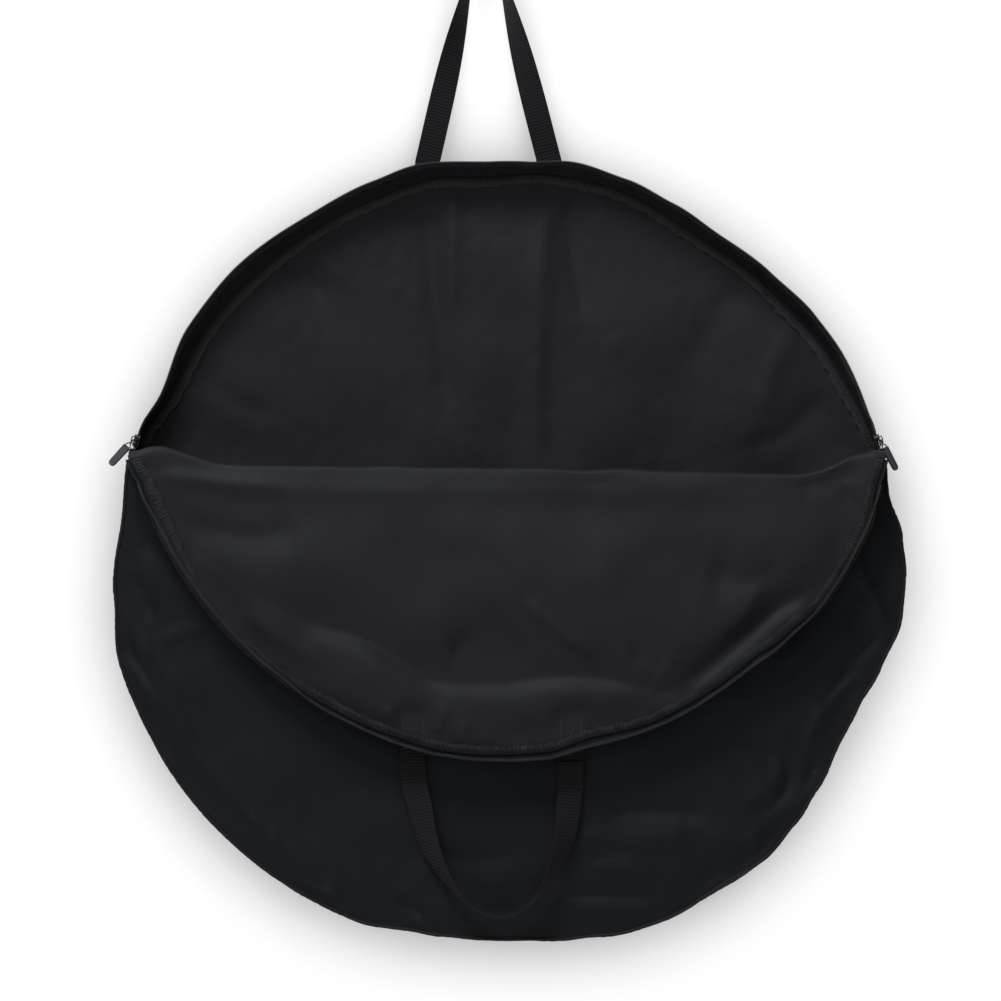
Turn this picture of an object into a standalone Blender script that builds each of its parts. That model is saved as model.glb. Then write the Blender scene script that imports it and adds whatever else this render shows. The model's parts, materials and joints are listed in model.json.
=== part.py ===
"""Round carry bag, hung by its rear handle, with its zip undone and the front flap folded down.

Metres, +Z up, the front faces -Y. The origin is the point where a hook bears in the rear handle. Shapes are
made round the middle of the bag, and the flap is made closed, then turned down about its fold.
"""

import math

import bmesh
import bpy
import numpy as np
from mathutils import Matrix

# Overall sizes
BAG_RADIUS = 0.390
BAG_DEPTH = 0.070
FOLD_HEIGHT = 0.088
FRONT_CROWN = 0.008
REAR_CROWN = 0.008
CLOTH = 0.0010
PANEL_CENTRE_SHARE = 0.1
PANEL_RINGS = 5

# Seams
PIPING_RADIUS = 0.0018
BINDING_WIDTH = 0.010
BINDING_THICKNESS = 0.0017

# Zip
ZIP_OFFSET = -0.010
ZIP_END_ANGLE = 14.5
FLAP_ZIP_ANGLE = 19.0
TAPE_WIDTH = 0.014
TAPE_THICKNESS = 0.0006
TAPE_LAP = 0.006
TAPE_TUCK = 0.008
COIL_RADIUS = 0.0013
STOP_LENGTH = 0.003

# Sliders, seen with the nose at +X and the outside at +Z
SLIDER_LENGTH = 0.0125
SLIDER_WIDTH = 0.0112
SLIDER_PLATE = 0.0012
SLIDER_BRIDGE_WIDTH = 0.0024
SLIDER_BRIDGE_LENGTH = 0.0034
SLIDER_EDGE = 0.0003
SLIDER_OUTLINE_SHARES = ((-0.5, 0.30), (-0.36, 0.36), (-0.06, 0.37), (0.16, 0.5), (0.34, 0.5), (0.5, 0.3))
CROWN_LENGTH = 0.0088
CROWN_HEIGHT = 0.0032
CROWN_WIDTH = 0.0026
CROWN_STRIP = 0.0010
CROWN_ARCH_POWER = 0.5

# Pulls
WIRE_RADIUS = 0.00055
WIRE_SPREAD = 0.0066
WIRE_REACH = 0.0085
WIRE_BURY = 0.0030
WIRE_BEND = 0.0011
GRIP_LENGTH = 0.026
GRIP_WIDTH = 0.0092
GRIP_TIP_WIDTH = 0.0078
GRIP_THICKNESS = 0.0030
GRIP_EDGE = 0.0008
GRIP_DISH_DEPTH = 0.0006
GRIP_DISH_MARGIN = 0.0020
PULL_LEFT_ANGLE = 26.5
PULL_RIGHT_ANGLE = 11.5

# Handles
WEBBING_WIDTH = 0.025
WEBBING_THICKNESS = 0.0016
HANDLE_LAP = 0.044
REAR_LEG_LEFT = -0.081
REAR_LEG_RIGHT = 0.0435
REAR_LOOP_MIDDLE = -0.022
REAR_LOOP_RISE = 0.235
HOOK_RADIUS = 0.006
FRONT_LEG_LEFT = -0.094
FRONT_LEG_RIGHT = 0.064
FRONT_LOOP_MIDDLE = 0.0
FRONT_LOOP_DROP = 0.157
FRONT_LOOP_RADIUS = 0.009
FRONT_LOOP_LEAN = 42.0
FRONT_LOOP_PULL_SHARE = 1 / 3
FRONT_HINGE_DROP = 0.0024

# Running and resting clearance between pieces
GAP = 0.0003

# Fineness
ARC_STEP = 3.75
SHARP_ANGLE = 30.0
TUBE_SIDES = 8
LEG_STEPS = 14
LOOP_STEPS = 8
CORNER_STEPS = 4
ARCH_STEPS = 9
TIP_STEPS = 16

# Sizes that follow
SEAM_Y = BAG_DEPTH / 2
PANEL_RADIUS = BAG_RADIUS - PIPING_RADIUS - GAP
WALL_EDGE = SEAM_Y - PIPING_RADIUS - GAP
TAPE_OUTER = BAG_RADIUS - CLOTH - GAP
COIL_ORBIT = TAPE_OUTER - TAPE_THICKNESS / 2
COIL_OFFSET = SLIDER_BRIDGE_WIDTH / 2 + GAP + COIL_RADIUS
TAPE_START = COIL_OFFSET + COIL_RADIUS + GAP
WALL_START = TAPE_START + TAPE_WIDTH - TAPE_LAP
SLIDER_THROAT = COIL_RADIUS + GAP
FOLD_ANGLE = math.degrees(math.asin(FOLD_HEIGHT / BAG_RADIUS))
STRAP_Y = SEAM_Y + PIPING_RADIUS + GAP + WEBBING_THICKNESS / 2
HALF_TURN = 180.0
RIGHT_ANGLE = 90.0
FULL_TURN = 360.0


def arc_degrees(length, radius=BAG_RADIUS):
    """The angle in degrees that a length along an arc covers."""
    return math.degrees(length / radius)


def crown_height(radius, crown):
    """How far a crowned panel stands out from its seam plane at a radius."""
    return crown * (1 - (radius / PANEL_RADIUS) ** 2)


FOLD_Y = -SEAM_Y - crown_height(FOLD_HEIGHT, FRONT_CROWN) - GAP / 2
HANG_HEIGHT = BAG_RADIUS + REAR_LOOP_RISE
SLIDER_REST = arc_degrees(STOP_LENGTH + 2 * GAP + SLIDER_LENGTH / 2)


def clear_scene():
    for item in list(bpy.data.objects):
        bpy.data.objects.remove(item, do_unlink=True)


def material(name, colour, roughness, metallic=0.0):
    """A Principled material, made once for each name."""
    found = bpy.data.materials.get(name)
    if found:
        return found
    made = bpy.data.materials.new(name)
    made.use_nodes = True
    shader = made.node_tree.nodes["Principled BSDF"]
    shader.inputs["Base Color"].default_value = (*colour, 1.0)
    shader.inputs["Roughness"].default_value = roughness
    shader.inputs["Metallic"].default_value = metallic
    made.diffuse_color = (*colour, 1.0)
    return made


def shell_cloth():
    return material("shell_cloth", (0.012, 0.013, 0.019), 0.62)


def seam_cloth():
    return material("seam_cloth", (0.010, 0.010, 0.013), 0.55)


def zip_tape():
    return material("zip_tape", (0.015, 0.016, 0.018), 0.80)


def zip_coil():
    return material("zip_coil", (0.030, 0.031, 0.034), 0.42)


def slider_metal():
    return material("slider_metal", (0.055, 0.055, 0.060), 0.32, 0.9)


def pull_wire():
    return material("pull_wire", (0.10, 0.10, 0.11), 0.28, 1.0)


def pull_rubber():
    return material("pull_rubber", (0.022, 0.022, 0.024), 0.55)


def webbing():
    return material("webbing", (0.013, 0.013, 0.015), 0.72)


def empty(name, location, parent=None, matrix=None):
    """A pivot, placed in its parent's space."""
    made = bpy.data.objects.new(name, None)
    bpy.context.collection.objects.link(made)
    made.parent = parent
    made.matrix_local = Matrix.Translation(location) @ (matrix or Matrix.Identity(4))
    return made


def keep(name, bm, finish, parent):
    """Turns a bmesh into a named object in its parent's space."""
    bmesh.ops.recalc_face_normals(bm, faces=bm.faces)
    mesh = bpy.data.meshes.new(name)
    bm.to_mesh(mesh)
    bm.free()
    mesh.shade_smooth()
    mesh.set_sharp_from_angle(angle=math.radians(SHARP_ANGLE))
    mesh.materials.append(finish)
    made = bpy.data.objects.new(name, mesh)
    bpy.context.collection.objects.link(made)
    made.parent = parent
    return made


def hide(tool):
    """Makes an object a helper: it shapes another and is no piece itself."""
    tool.hide_render = True
    tool.display_type = "WIRE"
    return tool


def combine(target, tool, operation):
    """Joins a helper to a piece, or cuts it out."""
    change = target.modifiers.new(tool.name, "BOOLEAN")
    change.operation = operation
    change.solver = "EXACT"
    change.object = hide(tool)


def loft(sections, closed=False):
    """A bmesh skin through equal sections, each a closed loop of points, capped at both ends unless it closes."""
    bm = bmesh.new()
    loops = [[bm.verts.new(point) for point in section] for section in sections]
    pairs = list(zip(loops, loops[1:]))
    if closed:
        pairs.append((loops[-1], loops[0]))
    else:
        bm.faces.new(loops[0])
        bm.faces.new(loops[-1])
    for here, there in pairs:
        for i in range(len(here)):
            j = (i + 1) % len(here)
            bm.faces.new((here[i], here[j], there[j], there[i]))
    return bm


def arc_angles(start, end):
    """Angles from start to end, on the common steps between them, so that facets of nested arcs line up."""
    first = math.floor(start / ARC_STEP) + 1
    last = math.ceil(end / ARC_STEP) - 1
    return [start, *(ARC_STEP * k for k in range(first, last + 1)), end]


def ring_angles():
    return [ARC_STEP * k for k in range(round(FULL_TURN / ARC_STEP))]


def sweep(profile, angles, closed=False):
    """A profile of (radius, y) points carried round the bag's middle; angles run from +X towards +Z."""
    sections = []
    for angle in angles:
        turn = math.radians(angle)
        sections.append([(r * math.cos(turn), y, r * math.sin(turn)) for r, y in profile])
    return loft(sections, closed)


def rectangle(low_radius, high_radius, low_y, high_y):
    return [(low_radius, low_y), (high_radius, low_y), (high_radius, high_y), (low_radius, high_y)]


def circle(centre_radius, centre_y, radius):
    turns = [2 * math.pi * k / TUBE_SIDES for k in range(TUBE_SIDES)]
    return [(centre_radius + radius * math.cos(t), centre_y + radius * math.sin(t)) for t in turns]


def extrude_outline(points, low, high):
    """A prism over an outline in X and Y, between two heights."""
    return loft([[(x, y, low) for x, y in points], [(x, y, high) for x, y in points]])


def panel(crown, side):
    """A crowned disc of cloth. Its outer face stands out from the seam plane, towards side times Y."""
    radii = np.linspace(PANEL_RADIUS * PANEL_CENTRE_SHARE, PANEL_RADIUS, PANEL_RINGS)
    outer = [(r, side * (SEAM_Y + crown_height(r, crown))) for r in radii]
    inner = [(r, y - side * CLOTH) for r, y in outer]
    turns = np.radians(ring_angles())
    return loft([[(r * math.cos(t), y, r * math.sin(t)) for t in turns] for r, y in outer + inner[::-1]])


def cut_level(bm, height, keep_above):
    """Cuts a panel straight across at a height, keeps one side of it and closes the cut edge."""
    everything = bm.verts[:] + bm.edges[:] + bm.faces[:]
    cut = bmesh.ops.bisect_plane(
        bm, geom=everything, plane_co=(0, 0, height), plane_no=(0, 0, 1),
        clear_inner=keep_above, clear_outer=not keep_above,
    )
    edges = [item for item in cut["geom_cut"] if isinstance(item, bmesh.types.BMEdge)]
    bmesh.ops.contextual_create(bm, geom=edges)
    return bm


def make_panels(bag, flap):
    keep("back_panel", panel(REAR_CROWN, 1), shell_cloth(), bag)
    lower = cut_level(panel(FRONT_CROWN, -1), FOLD_HEIGHT - GAP / 2, keep_above=False)
    keep("front_panel", lower, shell_cloth(), bag)
    upper = cut_level(panel(FRONT_CROWN, -1), FOLD_HEIGHT + GAP / 2, keep_above=True)
    keep("front_flap", upper, shell_cloth(), flap)


def make_walls(bag, flap):
    """The side wall: full depth round the bottom, and two strips with the zip between them over the top."""
    inner = BAG_RADIUS - CLOTH
    lower = arc_angles(HALF_TURN - ZIP_END_ANGLE, FULL_TURN + ZIP_END_ANGLE)
    wall = rectangle(inner, BAG_RADIUS, -WALL_EDGE, WALL_EDGE)
    keep("gusset_lower", sweep(wall, lower), shell_cloth(), bag)
    end = ZIP_END_ANGLE + arc_degrees(GAP)
    strip = rectangle(inner, BAG_RADIUS, ZIP_OFFSET + WALL_START, WALL_EDGE)
    keep("gusset_upper", sweep(strip, arc_angles(end, HALF_TURN - end)), shell_cloth(), bag)
    strip = rectangle(inner, BAG_RADIUS, -WALL_EDGE, ZIP_OFFSET - WALL_START)
    over_flap = arc_angles(FLAP_ZIP_ANGLE, HALF_TURN - FLAP_ZIP_ANGLE)
    keep("flap_gusset", sweep(strip, over_flap), shell_cloth(), flap)


def make_seams(bag, flap):
    """Corded piping on the outer corners, and binding tape over the seam edges inside."""
    cord = circle(BAG_RADIUS, SEAM_Y, PIPING_RADIUS)
    keep("piping_rear", sweep(cord, ring_angles(), closed=True), seam_cloth(), bag)
    cord = circle(BAG_RADIUS, -SEAM_Y, PIPING_RADIUS)
    clear = arc_degrees(GAP)
    lower = arc_angles(HALF_TURN - FOLD_ANGLE + clear, FULL_TURN + FOLD_ANGLE - clear)
    keep("piping_front", sweep(cord, lower), seam_cloth(), bag)
    upper = arc_angles(FOLD_ANGLE + clear, HALF_TURN - FOLD_ANGLE - clear)
    keep("piping_flap", sweep(cord, upper), seam_cloth(), flap)
    outer = BAG_RADIUS - CLOTH - GAP
    face = SEAM_Y - CLOTH - GAP
    tape = rectangle(outer - BINDING_WIDTH, outer, face - BINDING_THICKNESS, face)
    keep("binding_rear", sweep(tape, ring_angles(), closed=True), seam_cloth(), bag)
    tape = rectangle(outer - BINDING_WIDTH, outer, -face, BINDING_THICKNESS - face)
    keep("binding_front", sweep(tape, lower), seam_cloth(), bag)


def make_zip_half(name, side, tape_angles, coil_angles, parent):
    """One tape with the coil along its free edge, to one side of the zip's middle."""
    coil_y = ZIP_OFFSET + side * COIL_OFFSET
    edges = sorted((ZIP_OFFSET + side * TAPE_START, ZIP_OFFSET + side * (TAPE_START + TAPE_WIDTH)))
    tape = rectangle(TAPE_OUTER - TAPE_THICKNESS, TAPE_OUTER, *edges)
    keep("zip_tape_" + name, sweep(tape, tape_angles), zip_tape(), parent)
    coil = circle(COIL_ORBIT, coil_y, COIL_RADIUS)
    keep("zip_coil_" + name, sweep(coil, coil_angles), zip_coil(), parent)


def make_zip(bag, flap):
    """The rear half runs on under the lower wall, whose top edges hold its ends and the stops."""
    tucked = ZIP_END_ANGLE - arc_degrees(TAPE_TUCK)
    tape = arc_angles(tucked, HALF_TURN - tucked)
    coil_end = ZIP_END_ANGLE + arc_degrees(STOP_LENGTH + 2 * GAP)
    coil = arc_angles(coil_end, HALF_TURN - coil_end)
    make_zip_half("rear", 1, tape, coil, bag)
    over_flap = arc_angles(FLAP_ZIP_ANGLE, HALF_TURN - FLAP_ZIP_ANGLE)
    make_zip_half("flap", -1, over_flap, over_flap, flap)
    stop = rectangle(
        COIL_ORBIT - COIL_RADIUS, COIL_ORBIT + COIL_RADIUS, ZIP_OFFSET - COIL_OFFSET, ZIP_OFFSET + TAPE_START - GAP
    )
    low = ZIP_END_ANGLE + arc_degrees(GAP)
    high = low + arc_degrees(STOP_LENGTH)
    for name, ends in (("right", (low, high)), ("left", (HALF_TURN - high, HALF_TURN - low))):
        block = keep("zip_stop_" + name, sweep(stop, ends), slider_metal(), bag)
        soften(block, SLIDER_EDGE)


def soften(piece, width):
    """A small round on every sharp edge."""
    edge = piece.modifiers.new("edges", "BEVEL")
    edge.width = width
    edge.segments = 1
    edge.limit_method = "ANGLE"


def slider_outline():
    """The plate's shield outline, wide at the nose, narrow at the tail."""
    half = [(x * SLIDER_LENGTH, y * SLIDER_WIDTH) for x, y in SLIDER_OUTLINE_SHARES]
    return half + [(x, -y) for x, y in reversed(half)]


def crown_arch():
    """The arch that holds the pull's wire: a bent strip, seen from the side in X and Z."""
    turns = np.linspace(0, math.pi, ARCH_STEPS)
    rise = np.maximum(np.sin(turns), 0) ** CROWN_ARCH_POWER
    edges = []
    for half, high in (
        (CROWN_LENGTH / 2, CROWN_HEIGHT),
        (CROWN_LENGTH / 2 - CROWN_STRIP, CROWN_HEIGHT - CROWN_STRIP),
    ):
        edges.append([(half * math.cos(t), high * up) for t, up in zip(turns, rise)])
    return edges


def make_slider(name, pivot, heading):
    """Two plates joined by the bridge between the coils, with a crown on top for the pull."""
    turn = empty("slider_seat_" + name, (0, ZIP_OFFSET, COIL_ORBIT), pivot,
                 Matrix.Rotation(math.radians(heading), 4, "Z"))
    top = SLIDER_THROAT + SLIDER_PLATE
    body = keep("slider_" + name, extrude_outline(slider_outline(), SLIDER_THROAT, top), slider_metal(), turn)
    soften(body, SLIDER_EDGE)
    under = keep("slider_under_" + name, extrude_outline(slider_outline(), -top, -SLIDER_THROAT),
                 slider_metal(), turn)
    soften(under, SLIDER_EDGE)
    combine(body, bridge(name, turn), "UNION")
    combine(body, under, "UNION")
    combine(body, crown(name, turn, top), "UNION")
    return turn, top


def bridge(name, parent):
    """The wedge that parts the coils: a lozenge, near the nose, through both plates' inner faces."""
    middle = SLIDER_LENGTH / 2 - SLIDER_BRIDGE_LENGTH
    half = SLIDER_BRIDGE_LENGTH / 2
    points = [(middle - half, 0), (middle, -SLIDER_BRIDGE_WIDTH / 2), (middle + half, 0),
              (middle, SLIDER_BRIDGE_WIDTH / 2)]
    reach = SLIDER_THROAT + SLIDER_PLATE / 2
    return keep("slider_bridge_" + name, extrude_outline(points, -reach, reach), slider_metal(), parent)


def crown(name, parent, top):
    """The arch over the upper plate, sunk into it a little so that they join."""
    outer, inner = crown_arch()
    sunk = top - SLIDER_PLATE / 2
    side = [(x, top + z) for x, z in outer]
    side[0], side[-1] = (side[0][0], sunk), (side[-1][0], sunk)
    back = [(x, top + z) for x, z in inner]
    back[0], back[-1] = (back[0][0], sunk), (back[-1][0], sunk)
    ring = side + back[::-1]
    half = CROWN_WIDTH / 2
    sections = [[(x, -half, z) for x, z in ring], [(x, half, z) for x, z in ring]]
    return keep("slider_crown_" + name, loft(sections), slider_metal(), parent)


def rounded_path(corners, radius):
    """Points along straight runs in X and Y, with an arc of the given radius at each inner corner."""
    path = [np.array(corners[0], float)]
    for before, here, after in zip(corners, corners[1:], corners[2:]):
        here = np.array(here, float)
        back = np.array(before, float) - here
        on = np.array(after, float) - here
        back, on = back / np.linalg.norm(back), on / np.linalg.norm(on)
        for t in np.linspace(0, 1, CORNER_STEPS + 1):
            path.append(here + radius * ((1 - t) ** 2 * back + t ** 2 * on))
    path.append(np.array(corners[-1], float))
    return np.array(path)


def tube(path, radius):
    """A round bar along a path of (x, y) points that lies flat at z = 0."""
    along = np.gradient(path, axis=0)
    along /= np.linalg.norm(along, axis=1)[:, None]
    turns = [2 * math.pi * k / TUBE_SIDES for k in range(TUBE_SIDES)]
    sections = []
    for (x, y), (tx, ty) in zip(path, along):
        sections.append([
            (x - ty * radius * math.cos(t), y + tx * radius * math.cos(t), radius * math.sin(t)) for t in turns
        ])
    return loft(sections)


def wire_path():
    """A square-cornered U: its bar lies in the crown and its two ends are buried in the grip."""
    half = WIRE_SPREAD / 2
    end = -(WIRE_REACH + WIRE_BURY)
    return rounded_path([(end, -half), (0, -half), (0, half), (end, half)], WIRE_BEND)


def grip_outline():
    """A long tab with a round tip, a little narrower there than at the wire."""
    start = -WIRE_REACH
    tip = GRIP_TIP_WIDTH / 2
    far = start - GRIP_LENGTH + tip
    turns = np.linspace(math.pi / 2, 3 * math.pi / 2, TIP_STEPS)
    round_tip = [(far + tip * math.cos(t), tip * math.sin(t)) for t in turns]
    shoulder = GRIP_WIDTH / 2
    corner = GRIP_EDGE
    near = [(start - corner, -shoulder), (start, corner - shoulder), (start, shoulder - corner),
            (start - corner, shoulder)]
    return near + round_tip


def shrink(points, margin):
    """An outline drawn in towards its middle by about a margin."""
    points = np.array(points)
    middle = (points.max(axis=0) + points.min(axis=0)) / 2
    half = (points.max(axis=0) - points.min(axis=0)) / 2
    return (middle + (points - middle) * (1 - margin / half)).tolist()


def make_pull(name, slider_turn, slider_top, angle):
    """The wire and the moulded grip, turned about the bar that lies in the crown."""
    height = slider_top + GAP + WIRE_RADIUS
    pivot = empty("pull_axis_" + name, (0, 0, height), slider_turn,
                  Matrix.Rotation(math.radians(angle), 4, "Y"))
    keep("pull_wire_" + name, tube(wire_path(), WIRE_RADIUS), pull_wire(), pivot)
    half = GRIP_THICKNESS / 2
    grip = keep("pull_grip_" + name, extrude_outline(grip_outline(), -half, half), pull_rubber(), pivot)
    soften(grip, GRIP_EDGE)
    holes = keep("pull_holes_" + name, tube(wire_path(), WIRE_RADIUS + GAP), pull_rubber(), pivot)
    dish = shrink(grip_outline(), GRIP_DISH_MARGIN)
    for side in (-1, 1):
        ends = sorted((side * (half - GRIP_DISH_DEPTH), side * (half + GAP)))
        hollow = keep(f"pull_dish_{name}_{side}", extrude_outline(dish, *ends), pull_rubber(), pivot)
        combine(grip, hollow, "DIFFERENCE")
    combine(grip, holes, "DIFFERENCE")


def make_sliders(bag):
    """Each slider runs round the bag's middle; it is made at the top and turned down to its end of the zip."""
    down = RIGHT_ANGLE - ZIP_END_ANGLE - SLIDER_REST
    for name, side, angle in (("left", -1, PULL_LEFT_ANGLE), ("right", 1, PULL_RIGHT_ANGLE)):
        pivot = empty("zip_run_" + name, (0, 0, 0), bag, Matrix.Rotation(math.radians(side * down), 4, "Y"))
        heading = 0.0 if side < 0 else HALF_TURN
        turn, top = make_slider(name, pivot, heading)
        make_pull(name, turn, top, angle)


def tangent_point(base, centre, radius, side):
    """Where a straight line from base touches a circle, on its left (-1) or right (1) side, in X and Z."""
    away = np.subtract(base, centre)
    distance = np.hypot(*away)
    swing = side * math.acos(radius / distance)
    c, s = math.cos(swing), math.sin(swing)
    out = away / distance * radius
    return np.add(centre, (c * out[0] - s * out[1], s * out[0] + c * out[1]))


def ribbon(path, twists, y, stand=0.0):
    """Webbing along a path in X and Z. A twist of 0 shows its face to the front, one of 90 its edge.

    Where it is turned edge on, its middle stands out towards the front by the given length.
    """
    path = np.array(path)
    along = np.gradient(path, axis=0)
    along /= np.linalg.norm(along, axis=1)[:, None]
    wide, thick = WEBBING_WIDTH / 2, WEBBING_THICKNESS / 2
    sections = []
    for (x, z), (tx, tz), twist in zip(path, along, np.radians(twists)):
        across = np.array((tz * math.cos(twist), math.sin(twist), -tx * math.cos(twist)))
        facing = np.cross((tx, 0, tz), across)
        middle = np.array((x, y - stand * math.sin(twist), z))
        sections.append([
            middle + a * wide * across + b * thick * facing for a, b in ((-1, -1), (1, -1), (1, 1), (-1, 1))
        ])
    return loft(sections)


def smooth_turn(steps):
    """A twist from 0 to 90 degrees that starts and ends gently."""
    t = np.linspace(0, 1, steps)
    return RIGHT_ANGLE * t * t * (3 - 2 * t)


def bezier(a, b, c, d, steps):
    t = np.linspace(0, 1, steps)[:, None]
    a, b, c, d = (np.array(p, float) for p in (a, b, c, d))
    return a * (1 - t) ** 3 + 3 * b * t * (1 - t) ** 2 + 3 * c * t ** 2 * (1 - t) + d * t ** 3


def rear_handle_path():
    """From one sewn end, up to the hook, over it and down to the other sewn end."""
    rim = BAG_RADIUS
    radius = HOOK_RADIUS + WEBBING_THICKNESS / 2
    centre = (REAR_LOOP_MIDDLE, rim + REAR_LOOP_RISE - radius - WEBBING_THICKNESS / 2)
    left = tangent_point((REAR_LEG_LEFT, rim), centre, radius, -1)
    right = tangent_point((REAR_LEG_RIGHT, rim), centre, radius, 1)
    low = rim - HANDLE_LAP
    up = np.linspace((REAR_LEG_LEFT, rim), left, LEG_STEPS)
    start, end = (math.atan2(*np.subtract(p, centre)[::-1]) for p in (left, right))
    arc = np.linspace(start, end, LOOP_STEPS)[1:-1]
    over = [(centre[0] + radius * math.cos(t), centre[1] + radius * math.sin(t)) for t in arc]
    down = np.linspace(right, (REAR_LEG_RIGHT, rim), LEG_STEPS)
    path = [(REAR_LEG_LEFT, low), *up, *over, *down, (REAR_LEG_RIGHT, low)]
    turn = smooth_turn(LEG_STEPS)
    twists = [0, *turn, *[RIGHT_ANGLE] * len(over), *turn[::-1], 0]
    return path, twists


def front_hinge_height():
    """Level with the flap's rim at the webbing's inner edges, and just past it; the flap is closed here."""
    inner = min(-FRONT_LEG_LEFT, FRONT_LEG_RIGHT) - WEBBING_WIDTH / 2
    return math.sqrt(BAG_RADIUS ** 2 - inner ** 2) + FRONT_HINGE_DROP


def front_loop_path():
    """The loop as it hangs from the folded flap, about the hinge line at z = 0."""
    lean = math.radians(FRONT_LOOP_LEAN)
    radius = FRONT_LOOP_RADIUS
    centre = (FRONT_LOOP_MIDDLE, radius - FRONT_LOOP_DROP)
    pull = FRONT_LOOP_DROP * FRONT_LOOP_PULL_SHARE
    top = -GAP / 2
    straight = top - WEBBING_THICKNESS
    ends = []
    for side, leg in ((-1, FRONT_LEG_LEFT), (1, FRONT_LEG_RIGHT)):
        meet = (centre[0] + side * radius * math.cos(lean), centre[1] - radius * math.sin(lean))
        guide = (meet[0] + side * pull * math.sin(lean), meet[1] + pull * math.cos(lean))
        curve = bezier((leg, straight), (leg, -pull), guide, meet, LEG_STEPS)
        ends.append([(leg, top), *curve])
    turns = np.linspace(math.pi + lean, 2 * math.pi - lean, LOOP_STEPS)[1:-1]
    under = [(centre[0] + radius * math.cos(t), centre[1] + radius * math.sin(t)) for t in turns]
    turn = [0, *smooth_turn(LEG_STEPS)]
    twists = [*turn, *[RIGHT_ANGLE] * len(under), *turn[::-1]]
    return [*ends[0], *under, *ends[1][::-1]], twists


def make_rear_handle(bag):
    path, twists = rear_handle_path()
    keep("rear_handle", ribbon(path, twists, STRAP_Y), webbing(), bag)


def make_front_handle(flap, flap_axis):
    """The sewn ends stay on the flap; the free loop bends forward about its front face at the flap's rim."""
    height = front_hinge_height()
    low = height - HANDLE_LAP - FRONT_HINGE_DROP
    for name, leg in (("left", FRONT_LEG_LEFT), ("right", FRONT_LEG_RIGHT)):
        end = ribbon([(leg, low), (leg, height - GAP / 2)], [0, 0], -STRAP_Y)
        keep("front_handle_end_" + name, end, webbing(), flap)
    drop = height - FOLD_HEIGHT
    half = WEBBING_THICKNESS / 2
    swing = empty("front_handle_axis", (0, FOLD_Y + STRAP_Y - half, -drop), flap_axis)
    path, twists = front_loop_path()
    keep("front_handle", ribbon(path, twists, half, WEBBING_WIDTH / 2), webbing(), swing)


def main():
    clear_scene()
    bag = empty("bag_middle", (-REAR_LOOP_MIDDLE, -STRAP_Y, -HANG_HEIGHT + WEBBING_THICKNESS))
    flap_axis = empty("flap_axis", (0, FOLD_Y, FOLD_HEIGHT), bag)
    folded = empty("flap_folded", (0, 0, 0), flap_axis, Matrix.Rotation(math.pi, 4, "X"))
    flap = empty("flap_middle", (0, -FOLD_Y, -FOLD_HEIGHT), folded)
    make_panels(bag, flap)
    make_walls(bag, flap)
    make_seams(bag, flap)
    make_zip(bag, flap)
    make_sliders(bag)
    make_rear_handle(bag)
    make_front_handle(flap, flap_axis)


main()
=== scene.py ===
"""The look of a round wheel carry bag, hung by its rear handle, its zip undone and its flap folded down.

Metres, +Z up, the front faces -Y. Shapes are worked out round the middle of the bag, as functions of an
angle in degrees that runs from +X towards +Z, or along a webbing's path. The flap's pieces are worked out
closed and then turned down about the fold.
"""

import json
import math

import bpy
import numpy as np
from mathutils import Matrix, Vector

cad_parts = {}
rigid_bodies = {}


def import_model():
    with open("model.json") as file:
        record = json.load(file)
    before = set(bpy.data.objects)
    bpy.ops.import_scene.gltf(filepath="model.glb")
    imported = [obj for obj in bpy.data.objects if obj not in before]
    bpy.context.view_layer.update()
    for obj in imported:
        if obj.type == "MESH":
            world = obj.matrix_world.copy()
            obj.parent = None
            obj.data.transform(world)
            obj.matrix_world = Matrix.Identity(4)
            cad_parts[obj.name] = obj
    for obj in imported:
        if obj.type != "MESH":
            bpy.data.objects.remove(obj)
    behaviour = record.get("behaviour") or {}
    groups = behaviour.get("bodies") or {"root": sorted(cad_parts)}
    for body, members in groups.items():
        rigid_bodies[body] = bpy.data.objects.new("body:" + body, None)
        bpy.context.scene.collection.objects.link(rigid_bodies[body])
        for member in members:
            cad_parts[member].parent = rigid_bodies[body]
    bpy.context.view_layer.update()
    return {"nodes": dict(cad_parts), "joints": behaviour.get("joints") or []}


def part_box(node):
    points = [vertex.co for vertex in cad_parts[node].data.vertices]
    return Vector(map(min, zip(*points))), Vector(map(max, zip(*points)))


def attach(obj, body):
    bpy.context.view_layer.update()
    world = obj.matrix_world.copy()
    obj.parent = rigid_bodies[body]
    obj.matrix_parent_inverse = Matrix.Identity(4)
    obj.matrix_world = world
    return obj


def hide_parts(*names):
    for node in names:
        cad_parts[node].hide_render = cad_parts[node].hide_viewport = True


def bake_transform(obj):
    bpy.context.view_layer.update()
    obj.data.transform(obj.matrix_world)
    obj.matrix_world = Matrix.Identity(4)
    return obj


bl_info = {
    "name": "Round Wheel Bag",
    "version": (1, 0, 0),
    "blender": (4, 5, 0),
    "location": "View3D > Sidebar > Wheel Bag",
    "description": "Cloth, seams, zip and webbing of a round wheel carry bag",
    "category": "Object",
}

for item in list(bpy.data.objects):
    bpy.data.objects.remove(item, do_unlink=True)

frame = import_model()

MM = 0.001


def corners(node):
    """The low and the high corner of a node's box."""
    low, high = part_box(node)
    return np.array(low), np.array(high)


def middle(node):
    """The middle of a node's box."""
    low, high = corners(node)
    return (low + high) / 2


def extent(node):
    """The size of a node's box along each axis."""
    low, high = corners(node)
    return high - low


def joint_place(name):
    """Where a joint of the frame turns, from the bag's middle."""
    found = next(joint for joint in frame["joints"] if joint["name"] == name)
    return np.array(found["pos_m"]) - MIDDLE


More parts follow.
